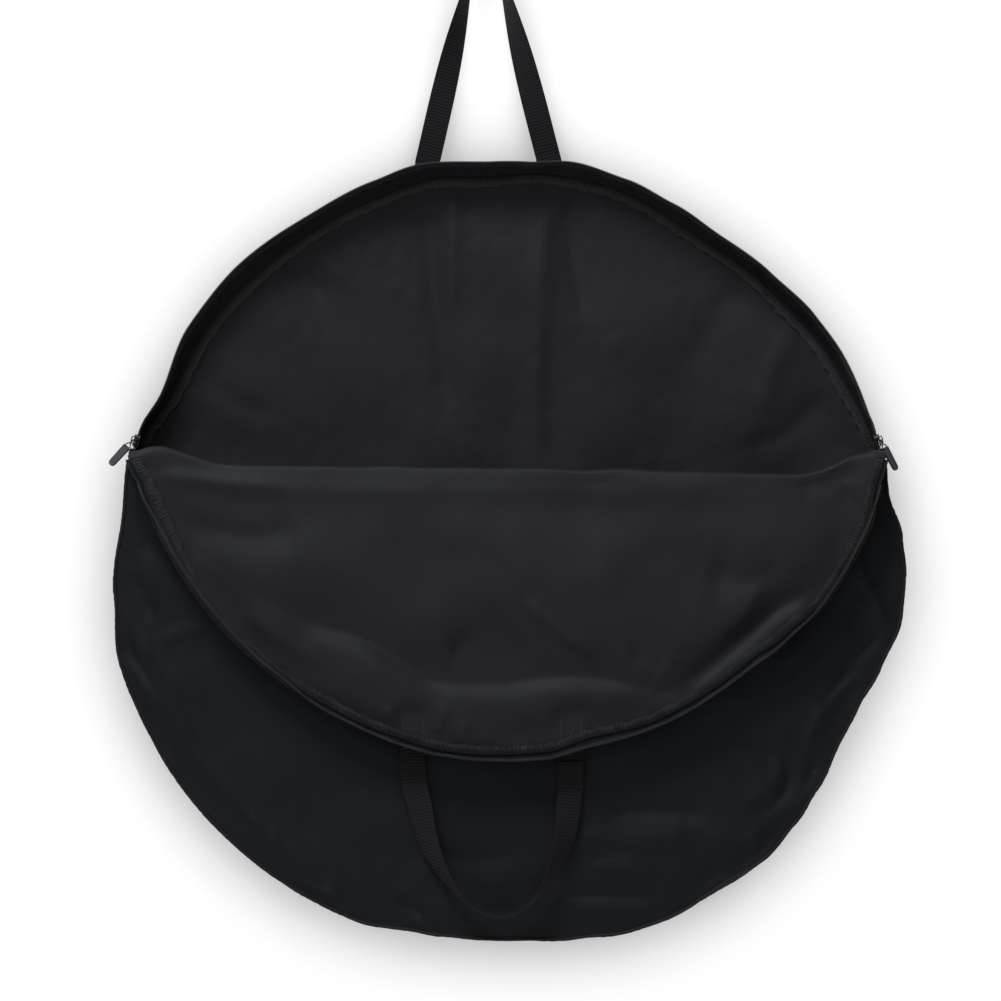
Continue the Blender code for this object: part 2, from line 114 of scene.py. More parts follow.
# Places and sizes read from the frame. The closed flap's coil comes COIL_CLOSER nearer to the rear one than
# there, and its zip ends a little further up the rim.
PIPING_RADIUS = extent("piping_rear")[1] / 2
BAG_RADIUS = extent("piping_rear")[0] / 2 - PIPING_RADIUS
SEAM_Y = (middle("piping_rear")[1] - middle("piping_front")[1]) / 2
MIDDLE = (middle("piping_rear") + middle("piping_front")) / 2
MIDDLE[2] = middle("piping_rear")[2]
PANEL_RADIUS = extent("back_panel")[0] / 2
PIPING_OFFSET = BAG_RADIUS - PANEL_RADIUS
REAR_CROWN = extent("back_panel")[1] - (corners("gusset_lower")[1][1] - corners("back_panel")[0][1])
FOLD = joint_place("flap_fold")
FOLD_ANGLE = math.degrees(math.asin(FOLD[2] / BAG_RADIUS))
COIL_RADIUS = extent("zip_coil_rear")[1] / 2
COIL_ORBIT = corners("zip_coil_rear")[1][2] - MIDDLE[2] - COIL_RADIUS
REAR_COIL_Y = middle("zip_coil_rear")[1] - MIDDLE[1]
COIL_CLOSER = 2.6 * MM
FLAP_COIL_Y = 2 * FOLD[1] - (middle("zip_coil_flap")[1] - MIDDLE[1]) + COIL_CLOSER
ZIP_END = math.degrees(math.asin((corners("gusset_lower")[1][2] - MIDDLE[2]) / BAG_RADIUS))
FLAP_ZIP_END = ZIP_END + 2.7
WEBBING_WIDTH = extent("front_handle_end_left")[0]
WEBBING_THICKNESS = extent("front_handle_end_left")[1]
HANDLE_LAP = BAG_RADIUS - (corners("rear_handle")[0][2] - MIDDLE[2])
REAR_LEGS = (corners("rear_handle")[0][0] + WEBBING_WIDTH / 2 - MIDDLE[0],
             corners("rear_handle")[1][0] - WEBBING_WIDTH / 2 - MIDDLE[0])
FRONT_LEGS = tuple(middle("front_handle_end_" + side)[0] - MIDDLE[0] for side in ("left", "right"))
FRONT_SWING = joint_place("front_handle_swing")
FRONT_DROP = FRONT_SWING[2] + MIDDLE[2] - corners("front_handle")[0][2]
STRAP_Y = (corners("rear_handle")[1][1] + corners("rear_handle")[0][1]) / 2 - MIDDLE[1]
STRAP_Y_FRONT = middle("front_handle_end_left")[1] - MIDDLE[1]
WALL_EDGE = corners("gusset_lower")[1][1] - MIDDLE[1]
PULL_Y = joint_place("pull_left_swing")[1]
HOOK_TOP = -MIDDLE[2] + WEBBING_THICKNESS
HOOK_RADIUS = 6 * MM
HOOK_X = -MIDDLE[0]

# How far a panel's edge reaches into the piping, and how far the walls' edges stop short of its middle
SEAM_TUCK = 1.3 * MM
SEAM_INSET = 0.5 * MM

# How deep the cloth lies under the seam's line, and the strips under the tape
CLOTH_SEAT = 1.1 * MM
STRIP_SEAT = CLOTH_SEAT - 0.2 * MM

# The hem on the side wall's ends: its length on the wall and past it, the thickness of its layers, and
# where its two sewn rows run, as shares of the way across it
HEM_LENGTH = 9 * MM
HEM_PAST = 1.0 * MM
HEM_THICKNESS = 0.9 * MM
HEM_ROWS = (0.22, 0.78)

# How far from the fold the cloth gives way to the fold's sag
FOLD_REACH = 170 * MM

# How much stronger the folds are made than their tables say, so that they show in soft light
LOWER_FOLD_SCALE = 2.9
FLAP_FOLD_SCALE = 1.9
BACK_FOLD_SCALE = 1.6

# The gap that two pieces of webbing keep where they meet, and the turned-back layers on their right legs:
# how far they reach below and above the rim behind, and along the front loop from its hinge line
HINGE_GAP = 0.05 * MM
REAR_DOUBLING = (-4.5 * MM, 14 * MM)
FRONT_DOUBLING = (0.5 * MM, 28 * MM)

# How far above the cloth a stitch's ends lie, as a share of the thread's radius
STITCH_SEAT = 0.3

# Where the tape tucks in past its end and where the rear coil stops short of it, on the rim
TAPE_TUCK = 8 * MM
COIL_STOP = 3.6 * MM

# The two sewn rows of a tape, from the coil's middle
TAPE_ROWS = (3.0 * MM, 11.2 * MM)

# Tables of an angle and millimetres, which along_table reads. The first is the outline of the lower part,
# front and rear: how far the seam lies outside the frame's circle.
LOWER_OUTLINE = (
    (165, 0), (175, -4), (187, 6), (197, 15), (206, 14), (217, 15), (232, 14.5), (248, 14), (257, 6),
    (265, 4), (272, 4), (280, 8.5), (288, 15), (294, 16), (302, 12), (310, 15.5), (316, 10.5), (322, 4.5),
    (330, -3.5), (336, -3), (342, 3.5), (349, 11.5), (356, 10), (361, 6), (368, -4.5), (375, 0),
)
REAR_OUTLINE_EXTRA = ((165, 0), (285, 0), (304, 8), (318, 0), (375, 0))

# How far the seams are drawn in along the open zip's two halves, and how far the coils wander
REAR_DRAW = (
    (14, 0), (28, 8), (45, 15), (58, 18), (74, 9), (84, 8), (93, 13), (102, 7), (113, 11), (130, 13),
    (142, 12), (154, 15), (166, 0),
)
FLAP_DRAW = (
    (13, 0), (17, 1), (23, -5), (36, -4), (43, 3), (50, 9), (58, 8), (67, 7), (77, 11), (84, 4), (99, 2),
    (109, 5), (118, 7), (128, 7), (140, 6), (154, 6), (162.5, 6), (167, 0),
)
REAR_COIL_WAVE = (
    (14, 0), (17.5, 0), (30, 2), (37, 0), (46, -5), (56, -8), (64, -4), (72, 1), (80, 5), (87, 0),
    (92, 0), (104, 7), (110, 4), (121, 1), (134, 4), (145, 2), (156, -7), (162.5, 0), (166, 0),
)
FLAP_COIL_WAVE = (
    (14, 0), (24, 2), (37, 2), (44, -2), (52, -6), (66, -4), (77, -5), (85, 0), (100, 0), (118, -5),
    (128, -10), (140, -11), (154, -10), (163, -4), (166, 0),
)

# How much wider the flap's seam allowance is at each angle
FLAP_ALLOWANCE_EXTRA = ((13, 0), (118, 0), (130, -2), (142, -1), (156, 6), (167, 3))

# The depths between which the front cloth bends from the bag to the flap: no other cloth lies between them
BEND_START = FOLD[1] + 1.3 * MM
BEND_END = FOLD[1] - 1.4 * MM

# Fineness
EDGE_ANGLE = 89.0
FINEST_FOLD = 6.5
ANGLE_STEP = 0.5
SHARP_ANGLE = math.radians(42)


def smooth(t):
    """0 below 0 and 1 above 1, and 3 t squared less 2 t cubed between."""
    t = np.clip(t, 0, 1)
    return t * t * (3 - 2 * t)


def along_table(angle, table):
    """A value in metres that eases from each angle of a table to the next, round from its first one."""
    knots = np.array(table, float)
    turn = np.mod(np.asarray(angle, float) - knots[0, 0], 360) + knots[0, 0]
    turn = np.minimum(turn, knots[-1, 0])
    place = np.clip(np.searchsorted(knots[:, 0], turn, side="right") - 1, 0, len(knots) - 2)
    share = smooth((turn - knots[place, 0]) / (knots[place + 1, 0] - knots[place, 0]))
    return (knots[place, 1] + share * (knots[place + 1, 1] - knots[place, 1])) * MM


def is_upper(angle, end=ZIP_END):
    """Whether an angle lies over the top, between an end angle and 180 less it."""
    turn = np.mod(np.asarray(angle, float), 360)
    return (turn > end) & (turn < 180 - end)


def rear_radius(angle):
    """The rear seam: outside the circle where the lower outline says, drawn in along the zip."""
    low = along_table(angle, LOWER_OUTLINE) + along_table(angle, REAR_OUTLINE_EXTRA)
    return PANEL_RADIUS + np.where(is_upper(angle), -along_table(angle, REAR_DRAW), low)


def front_radius(angle):
    """The front seam, over the lower part and round the closed flap."""
    low = along_table(angle, LOWER_OUTLINE)
    return PANEL_RADIUS + np.where(is_upper(angle, FOLD_ANGLE), -along_table(angle, FLAP_DRAW), low)


def ripple(x, z, size, seed):
    """Soft waves of about one size in all directions: the mean of seeded plane waves, of spread about 1."""
    rng = np.random.default_rng(seed)
    total = np.zeros(np.broadcast(x, z).shape)
    count = 16
    for _ in range(count):
        heading, phase = rng.uniform(0, 2 * math.pi, 2)
        pitch = size * rng.uniform(0.7, 1.5)
        total += np.sin(2 * math.pi / pitch * (x * math.cos(heading) + z * math.sin(heading)) + phase)
    return total * math.sqrt(2 / count)


def crumple(x, z, size, seed):
    """Rounded ridges with flatter hollows between: 1 less the size of a ripple, softened at its crests."""
    return 1 - np.sqrt(ripple(x, z, size, seed) ** 2 + 0.03)


def crease(x, z, points, height, width, sharp=1.0, left_width=None):
    """A ridge, or a hollow where height is negative, along a smooth line through points in millimetres.

    Its height falls off as 1 over (1 + (distance / width) squared) to the power 1.5 x sharp, and fades out
    towards both ends of the line. The side on the left, walking along it, can have a width of its own.
    """
    line = np.array(points, float) * MM
    share = np.linspace(0, 1, len(line))
    fine = np.linspace(0, 1, 8 * len(line))
    if len(line) > 2:
        bend = np.stack([spline(fine, share, line[:, k]) for k in range(2)], axis=1)
    else:
        bend = line[0] + (line[1] - line[0]) * fine[:, None]
    nearest = np.full(np.shape(x), np.inf)
    place = np.zeros(np.shape(x))
    turned = np.zeros(np.shape(x))
    for k in range(len(bend) - 1):
        step = bend[k + 1] - bend[k]
        t = ((x - bend[k, 0]) * step[0] + (z - bend[k, 1]) * step[1]) / (step @ step)
        t = np.clip(t, 0, 1)
        away = (x - bend[k, 0] - t * step[0]) ** 2 + (z - bend[k, 1] - t * step[1]) ** 2
        closer = away < nearest
        nearest = np.where(closer, away, nearest)
        place = np.where(closer, (k + t) / (len(bend) - 1), place)
        turned = np.where(closer, step[0] * (z - bend[k, 1]) - step[1] * (x - bend[k, 0]), turned)
    fade = smooth(place / 0.25) * smooth((1 - place) / 0.25)
    spread = np.maximum(np.where(turned > 0, left_width or width, width), FINEST_FOLD) * MM
    return height * MM * (0.15 + 0.85 * fade) * (1 + nearest / spread ** 2) ** (-1.5 * sharp)


def spline(at, knots, values):
    """A smooth curve through values: cubic, with the slope at each knot taken across its two neighbours."""
    slope = np.gradient(values, knots)
    place = np.clip(np.searchsorted(knots, at, side="right") - 1, 0, len(knots) - 2)
    gap = knots[place + 1] - knots[place]
    t = (at - knots[place]) / gap
    return ((2 * t ** 3 - 3 * t ** 2 + 1) * values[place] + (t ** 3 - 2 * t ** 2 + t) * gap * slope[place]
            + (3 * t ** 2 - 2 * t ** 3) * values[place + 1] + (t ** 3 - t ** 2) * gap * slope[place + 1])


def round_points(radius, angle, y):
    """Points at a radius, an angle and a depth, from the bag's middle."""
    turn = np.radians(angle)
    return np.stack(np.broadcast_arrays(radius * np.cos(turn), y, radius * np.sin(turn)), axis=-1)


def outward(angle):
    """The direction away from the bag's middle at each angle."""
    return round_points(1.0, np.asarray(angle, float), 0.0)


def rim_length(angle):
    """How far along the rim an angle lies: its share of a whole turn times the way round."""
    return angle * BAG_RADIUS * math.pi / 180


def rim_angle(length):
    """The angle that a length takes up on the rim."""
    return math.degrees(length / BAG_RADIUS)


# What half a turn about the fold does to a direction
TURNED = np.array((1.0, -1.0, -1.0))


def fold_down(points):
    """Turns closed flap points half round about the fold."""
    turned = np.array(points)
    turned[..., 1:] = 2 * FOLD[1:] - turned[..., 1:]
    return turned


def unit(vectors):
    """The same directions with a length of 1."""
    return vectors / np.maximum(np.linalg.norm(vectors, axis=-1, keepdims=True), 1e-12)


def step_across(grid, axis, wrap):
    """The difference between each point's two neighbours along one axis of a grid."""
    if wrap:
        return np.roll(grid, -1, axis) - np.roll(grid, 1, axis)
    return np.gradient(grid, axis=axis)


def grid_normals(grid, wrap_rows=False, wrap_columns=False):
    """Unit normals of a grid of points: the cross product of its two directions."""
    return unit(np.cross(step_across(grid, 0, wrap_rows), step_across(grid, 1, wrap_columns)))


def grid_quads(rows, columns, wrap_rows=False, wrap_columns=False):
    """Corner numbers of the quads between neighbouring points, and the same unwrapped, for the UV map."""
    across, down = rows - (not wrap_rows), columns - (not wrap_columns)
    i, j = (part.ravel() for part in np.meshgrid(np.arange(across), np.arange(down), indexing="ij"))
    around = ((0, 0), (1, 0), (1, 1), (0, 1))
    quads = np.stack([(i + a) % rows * columns + (j + b) % columns for a, b in around], axis=1)
    flat = np.stack([(i + a) * (columns + 1) + (j + b) for a, b in around], axis=1)
    return quads, flat


def spread_map(u, v):
    """UV values in metres from two grids, with one more row and column, as grid_quads counts them."""
    both = np.stack(np.broadcast_arrays(u, v), axis=-1)
    return np.pad(both, ((0, 1), (0, 1), (0, 0)), mode="edge").reshape(-1, 2)


def flat_map(u, v):
    """UV values in metres with one more row and column than the grid, for the far side of wrapped quads."""
    more_u = np.append(u, u[-1] + (u[-1] - u[-2]))
    more_v = np.append(v, v[-1] + (v[-1] - v[-2]))
    rows, columns = np.meshgrid(more_u, more_v, indexing="ij")
    return np.stack([rows, columns], axis=-1).reshape(-1, 2)


def distances(line):
    """How far along a line of points each one lies."""
    steps = np.linalg.norm(np.diff(line, axis=0), axis=1)
    return np.concatenate([[0], np.cumsum(steps)])


def read_line(line, far, at):
    """A line of points, read between its points at lengths along it."""
    return np.stack([np.interp(at, far, line[:, k]) for k in range(line.shape[1])], axis=1)


def put_mesh(name, points, faces, uvs, finishes, kinds=None, smooth_faces=True):
    """Makes a mesh object from whole arrays: lists of corner arrays and of the UV of each corner."""
    counts = np.concatenate([np.full(len(block), block.shape[1]) for block in faces])
    loops = np.concatenate([block.ravel() for block in faces]).astype(np.int32)
    mesh = bpy.data.meshes.new(name)
    mesh.vertices.add(len(points))
    mesh.vertices.foreach_set("co", (points + MIDDLE).astype(np.float32).ravel())
    mesh.loops.add(len(loops))
    mesh.loops.foreach_set("vertex_index", loops)
    mesh.polygons.add(len(counts))
    starts = np.concatenate([[0], np.cumsum(counts)[:-1]]).astype(np.int32)
    mesh.polygons.foreach_set("loop_start", starts)
    layer = mesh.uv_layers.new(name="flat")
    layer.data.foreach_set("uv", np.concatenate(uvs).astype(np.float32).ravel())
    for cover in finishes:
        mesh.materials.append(cover)
    if kinds is not None:
        mesh.polygons.foreach_set("material_index", np.concatenate(kinds).astype(np.int32))
    mesh.update()
    mesh.validate()
    if smooth_faces:
        mesh.shade_smooth()
        mesh.set_sharp_from_angle(angle=SHARP_ANGLE)
    made = bpy.data.objects.new(name, mesh)
    bpy.context.scene.collection.objects.link(made)
    return made


def thick_sheet(name, grid, thickness, uv, finishes, wrap_rows=False):
    """A closed sheet of one thickness about a grid of points: two skins along the normals, and its edges.

    The normals are the cross product of the grid's two directions. The first finish is on the skin that
    they point to, the second on the other skin and the edges.
    """
    rows, columns = grid.shape[:2]
    lift = grid_normals(grid, wrap_rows) * thickness / 2
    count = rows * columns
    points = np.concatenate([(grid + lift).reshape(-1, 3), (grid - lift).reshape(-1, 3)])
    quads, flat = grid_quads(rows, columns, wrap_rows)
    faces = [quads, quads[:, ::-1] + count]
    uvs = [uv[flat.ravel()], uv[flat[:, ::-1].ravel()]]
    i = np.arange(rows - (not wrap_rows))
    last = np.full_like(i, columns - 1)
    rims = [(i + 1, 0 * i, i, 0 * i), (i, last, i + 1, last)]
    if not wrap_rows:
        j = np.arange(columns - 1)
        last = np.full_like(j, rows - 1)
        rims += [(0 * j, j, 0 * j, j + 1), (last, j + 1, last, j)]
    for i_a, j_a, i_b, j_b in rims:
        a, b = i_a % rows * columns + j_a, i_b % rows * columns + j_b
        faces.append(np.stack([a, b, b + count, a + count], axis=1))
        flat_a, flat_b = i_a * (columns + 1) + j_a, i_b * (columns + 1) + j_b
        uvs.append(uv[np.stack([flat_a, flat_b, flat_b, flat_a], axis=1).ravel()])
    kinds = [np.full(len(block), min(k, 1)) for k, block in enumerate(faces)]
    return put_mesh(name, points, faces, uvs, finishes, kinds)


def swept(name, path, across, up, profile, cover, wrap=False):
    """A closed profile carried along a path: point + a x across + b x up for each (a, b) of the profile.

    The profile's points run round it so that across, up and the path's direction make the faces point out.
    """
    profile = np.broadcast_to(profile, (len(path), *np.shape(profile)[-2:]))
    grid = (path[:, None] + across[:, None] * profile[..., :1] + up[:, None] * profile[..., 1:2])
    rows, columns = grid.shape[:2]
    quads, flat = grid_quads(rows, columns, wrap, True)
    uv = flat_map(distances(path), distances(profile[0]))
    faces, uvs = [quads], [uv[flat.ravel()]]
    if not wrap:
        for ring in (np.arange(columns)[::-1], np.arange(columns) + (rows - 1) * columns):
            faces.append(ring[None])
            uvs.append(np.zeros((columns, 2)))
    return face_out(put_mesh(name, grid.reshape(-1, 3), faces, uvs, [cover]))


def face_out(made):
    """Turns a closed mesh's faces round where they point in: its signed volume tells."""
    mesh = made.data
    mesh.calc_loop_triangles()
    points = np.empty(len(mesh.vertices) * 3, np.float32)
    mesh.vertices.foreach_get("co", points)
    corners_of = np.empty(len(mesh.loop_triangles) * 3, np.int32)
    mesh.loop_triangles.foreach_get("vertices", corners_of)
    a, b, c = (points.reshape(-1, 3)[corners_of[k::3]].astype(float) for k in range(3))
    if np.einsum("ij,ij->i", a, np.cross(b, c)).sum() < 0:
        mesh.flip_normals()
    return made


def ring_profile(radius, sides):
    """The corners of an even ring about the path."""
    turn = np.arange(sides) * 2 * math.pi / sides
    return np.stack([radius * np.cos(turn), radius * np.sin(turn)], axis=1)


def place_stitches(name, starts, ends, lifts, radius, cover):
    """Many stitches as one mesh: each is a bent four-sided bar from start to end that rises along lift."""
    share = np.array([0.0, 0.12, 0.5, 0.88, 1.0])
    rise = np.array([0.0, 0.75, 1.0, 0.75, 0.0])
    thick = np.array([0.35, 0.9, 1.0, 0.9, 0.35]) * radius
    along = unit(ends - starts)
    side = unit(np.cross(lifts, along))
    top = unit(np.cross(along, side))
    spine = starts[:, None] + (ends - starts)[:, None] * share[:, None] + lifts[:, None] * rise[:, None]
    turn = np.arange(4) * math.pi / 2 + math.pi / 4
    ring = side[:, None, None] * np.cos(turn)[:, None] + top[:, None, None] * np.sin(turn)[:, None]
    points = (spine[:, :, None] + ring * thick[:, None, None]).reshape(-1, 3)
    one, _ = grid_quads(len(share), 4, False, True)
    ends_of = np.array([[3, 2, 1, 0], [16, 17, 18, 19]])
    block = np.concatenate([one, ends_of])
    each = len(share) * 4
    faces = (block[None] + np.arange(len(starts))[:, None, None] * each).reshape(-1, 4)
    uvs = np.zeros((faces.size, 2))
    return face_out(put_mesh(name, points, [faces], [uvs], [cover]))


def stitch_row(path, lift):
    """Starts, ends and lifts of the stitches along a path, with a gap after each."""
    length, gap = sizes().stitch_length, sizes().stitch_gap
    far = distances(path)
    begin = np.arange(int(far[-1] // (length + gap))) * (length + gap) + gap / 2
    end = begin + length
    return read_line(path, far, begin), read_line(path, far, end), read_line(lift, far, (begin + end) / 2)


def sew(name, body, sets, share=1.0):
    """Makes one piece of several sets of stitches, with thread at a share of its radius."""
    starts, ends, lifts = (np.concatenate(part) for part in zip(*sets))
    piece = place_stitches(name, starts, ends, lifts, sizes().thread * share, finish("thread"))
    settle(piece, body, "seam_cloth")


class Value:
    """A shader socket that takes part in sums: each sum adds a Math node."""

    def __init__(self, shader, socket):
        self.shader = shader
        self.socket = socket

    def _sum(self, operation, *values):
        """A Math node's value."""
        return self.shader.node("ShaderNodeMath", {"operation": operation}, dict(enumerate(values)))

    def __add__(self, other):
        return self._sum("ADD", self, other)

    def __sub__(self, other):
        return self._sum("SUBTRACT", self, other)

    def __rsub__(self, other):
        return self._sum("SUBTRACT", other, self)

    def __mul__(self, other):
        return self._sum("MULTIPLY", self, other)

    __radd__ = __add__
    __rmul__ = __mul__

    def sine(self):
        """The sine of a value in radians."""
        return self._sum("SINE", self)

    def wave(self, pitch, shift=None):
        """A sine that repeats after each pitch, moved along by another value in radians."""
        turned = self * (2 * math.pi / pitch)
        return (turned if shift is None else turned + shift).sine()

    def size(self):
        """The value without its sign."""
        return self._sum("ABSOLUTE", self)

    def limit(self):
        """The value, held between 0 and 1."""
        return self._sum("MINIMUM", self._sum("MAXIMUM", self, 0.0), 1.0)


class Shader:
    """A material's node tree, with one method that adds any node."""

    def __init__(self, name, **fixed):
        self.material = bpy.data.materials.new(name)
        self.material.use_nodes = True
        self.tree = self.material.node_tree
        self.surface = self.tree.nodes["Principled BSDF"]
        for socket, value in fixed.items():
            self.surface.inputs[socket.replace("_", " ")].default_value = value

    def node(self, kind, settings=None, values=None, output=0):
        """Adds a node: its settings first, then the value or the link of each input, by name or number."""
        made = self.tree.nodes.new(kind)
        for key, value in (settings or {}).items():
            if key == "stops":
                self.set_stops(made, value)
            else:
                setattr(made, key, value)
        for key, value in (values or {}).items():
            if isinstance(value, Value):
                self.tree.links.new(value.socket, made.inputs[key])
            else:
                made.inputs[key].default_value = value
        return Value(self, made.outputs[output])

    def set_stops(self, ramp, stops):
        """Gives a ramp its grey stops: a place and a level for each."""
        elements = ramp.color_ramp.elements
        while len(elements) < len(stops):
            elements.new(0.5)
        for element, (place, level) in zip(elements, stops):
            element.position = place
            element.color = (level, level, level, 1.0)

    def flat(self):
        """The piece's own UV map, in metres, as two values and as a vector."""
        place = self.node("ShaderNodeUVMap", {"uv_map": "flat"})
        parts = self.node("ShaderNodeSeparateXYZ", values={0: place})
        return parts, Value(self, parts.socket.node.outputs[1]), place

    def solid_place(self):
        """The place in the piece, in metres."""
        return self.node("ShaderNodeTexCoord", output=3)

    def noise(self, place, scale, detail=2.0, roughness=0.5):
        """Cloudy noise between 0 and 1, with about a scale's number of clouds to a metre."""
        return self.node("ShaderNodeTexNoise", values={
            "Vector": place, "Scale": scale, "Detail": detail, "Roughness": roughness,
        })

    def ramp(self, value, stops):
        """A value read off between stops."""
        return self.node("ShaderNodeValToRGB", {"stops": stops}, {0: value})

    def mix(self, share, first, second):
        """A colour between two others: the first at a share of 0 and the second at 1."""
        return self.node("ShaderNodeMix", {"data_type": "RGBA"}, {0: share, 6: first, 7: second}, output=2)

    def bump(self, height, distance, strength=1.0, under=None):
        """A normal that follows a height, on top of another bump where one is given."""
        values = {"Height": height, "Distance": distance, "Strength": strength}
        if under is not None:
            values["Normal"] = under
        return self.node("ShaderNodeBump", values=values)

    def link(self, **sockets):
        """Links values to the surface's sockets, and hands back the material."""
        for socket, value in sockets.items():
            self.tree.links.new(value.socket, self.surface.inputs[socket.replace("_", " ")])
        return self.material


def rgb(colour, factor=1.0):
    """A colour times a factor, for a socket."""
    return (*(min(channel * factor, 1.0) for channel in colour), 1.0)


def woven_cloth(name, colour, thread, gloss, haze):
    """Fine plain weave: threads cross over and under each other, with soft mottling of tone and gloss."""
    shader = Shader(name, Specular_IOR_Level=gloss, Sheen_Weight=haze, Sheen_Roughness=0.45)
    u, v, place = shader.flat()
    weave = u.wave(thread) * v.wave(thread)
    cloud = shader.noise(place, 9.0, 3.0)
    grain = shader.noise(place, 900.0, 2.0)
    tone = (cloud * 0.5 + grain * 0.5).limit()
    base = shader.mix(tone, rgb(colour, 0.72), rgb(colour, 1.3))
    worn = shader.ramp(shader.noise(place, 45.0, 5.0, 0.7), ((0.56, 0.0), (0.80, 1.0)))
    base = shader.mix(worn * 0.3, base, rgb(colour, 1.9))
    rough = 0.48 + cloud * 0.14 + grain * 0.08
    wrinkle = shader.bump(shader.noise(place, 70.0, 4.0, 0.6), 1.2 * MM, 0.35)
    fine = shader.bump(weave, 0.05 * MM, 0.6, wrinkle)
    return shader.link(Base_Color=base, Roughness=rough, Normal=fine)


def ribbed_webbing(name, colour, gloss):
    """Woven webbing: fine yarns along it, painted shade in the grooves between its ribs and painted light
    on their crests, with lighter fibres.
    """
    shader = Shader(name, Specular_IOR_Level=gloss, Sheen_Weight=0.02, Sheen_Roughness=0.5)
    u, v, place = shader.flat()
    yarn = v.wave(0.7 * MM, u.wave(3.2 * MM) * 1.2)
    fibre = shader.noise(place, 1400.0, 2.0)
    # The rib term paints light and shade: lightest on each rib's crest, darkest in the groove between two
    # ribs.
    rib = u.wave(2 * sizes().rib_pitch).size()
    tone = (yarn * 0.15 + fibre * 0.45 + rib * 0.7 - 0.25).limit()
    base = shader.mix(tone, rgb(colour, 0.25), rgb(colour, 2.1))
    rough = 0.62 + fibre * 0.2
    return shader.link(Base_Color=base, Roughness=rough, Normal=shader.bump(yarn + fibre, 0.10 * MM, 0.7))


def raw_edge(name, colour):
    """Overlocked cloth edges: loose thread loops and fraying, lighter than the cloth."""
    shader = Shader(name, Specular_IOR_Level=0.2, Sheen_Weight=0.08, Sheen_Roughness=0.5)
    u, v, place = shader.flat()
    loop = u.wave(2.6 * MM, v.wave(9 * MM) * 2.0).size()
    fray = shader.noise(place, 700.0, 4.0, 0.7)
    knots = shader.noise(place, 160.0, 3.0, 0.6)
    tone = (loop * 0.35 + fray * 0.7 + knots * 0.5 - 0.35).limit()
    base = shader.mix(tone, rgb(colour, 0.35), rgb(colour, 2.6))
    height = loop * 0.5 + fray + knots
    return shader.link(Base_Color=base, Roughness=0.7 + fray * 0.2,
                       Normal=shader.bump(height, 0.5 * MM, 0.8))


def tape_weave(name, colour):
    """Zip tape: a close herringbone that changes side every few millimetres."""
    shader = Shader(name, Specular_IOR_Level=0.15, Sheen_Weight=0.03, Sheen_Roughness=0.5)
    u, v, place = shader.flat()
    bone = u.wave(0.8 * MM, v.wave(3 * MM).size() * 3.0)
    fibre = shader.noise(place, 1200.0, 2.0)
    base = shader.mix((bone * 0.25 + fibre * 0.7).limit(), rgb(colour, 0.6), rgb(colour, 1.7))
    return shader.link(Base_Color=base, Roughness=0.7 + fibre * 0.2,
                       Normal=shader.bump(bone, 0.08 * MM, 0.6))


def twisted_thread(name, colour):
    """Sewing thread: short fibres that catch the light."""
    shader = Shader(name, Specular_IOR_Level=0.3, Sheen_Weight=0.10)
    fibre = shader.noise(shader.solid_place(), 2500.0, 2.0)
    base = shader.mix(fibre, rgb(colour, 0.6), rgb(colour, 1.6))
    return shader.link(Base_Color=base, Roughness=0.5 + fibre * 0.2)


def nylon_coil(name, colour):
    """Smooth nylon wire, a little dusty."""
    shader = Shader(name, Specular_IOR_Level=0.5)
    place = shader.solid_place()
    dust = shader.noise(place, 90.0, 3.0)
    base = shader.mix(dust, rgb(colour, 0.7), rgb(colour, 1.5))
    return shader.link(Base_Color=base, Roughness=0.32 + dust * 0.2)


def enamelled_metal(name, colour, bright):
    """Black enamel over a casting: an even coat, thinner and brighter in rubbed patches."""
    shader = Shader(name, Specular_IOR_Level=0.5)
    place = shader.solid_place()
    rubbed = shader.ramp(shader.noise(place, 420.0, 4.0, 0.7), ((0.52, 0.0), (0.66, 1.0)))
    fine = shader.noise(place, 2600.0, 2.0)
    base = shader.mix(rubbed * 0.45, rgb(colour), rgb(bright))
    rough = 0.30 + fine * 0.12 - rubbed * 0.06
    return shader.link(Base_Color=base, Roughness=rough, Metallic=0.35 + rubbed * 0.5,
                       Normal=shader.bump(fine, 0.03 * MM, 0.5))


def plated_wire(name, colour):
    """Dark plating with fine scratches of tone."""
    shader = Shader(name)
    fine = shader.noise(shader.solid_place(), 1800.0, 3.0)
    base = shader.mix(fine, rgb(colour, 0.7), rgb(colour, 1.5))
    return shader.link(Base_Color=base, Roughness=0.2 + fine * 0.2, Metallic=0.9 + fine * 0.1)


def moulded_rubber(name, colour):
    """Moulded grip: a fine satin grain with a little dust."""
    shader = Shader(name, Specular_IOR_Level=0.4)
    place = shader.solid_place()
    grain = shader.noise(place, 2200.0, 2.0)
    dust = shader.noise(place, 260.0, 4.0, 0.7)
    base = shader.mix(dust, rgb(colour, 0.75), rgb(colour, 1.5))
    return shader.link(Base_Color=base, Roughness=0.45 + dust * 0.15,
                       Normal=shader.bump(grain, 0.04 * MM, 0.5))


# The wall's painted shadow round things in front of it: how far off it notices things, how much brighter it
# gets for each metre up, and how open to the room a place is, with its glow there
PAINTED_SHADOW_REACH = 0.095
PAINTED_SHADOW_LIFT = 0.16
PAINTED_SHADOW_STOPS = ((0.0, 0.25), (0.50, 0.47), (0.62, 0.64), (0.74, 0.83), (0.84, 0.94), (0.93, 1.0))


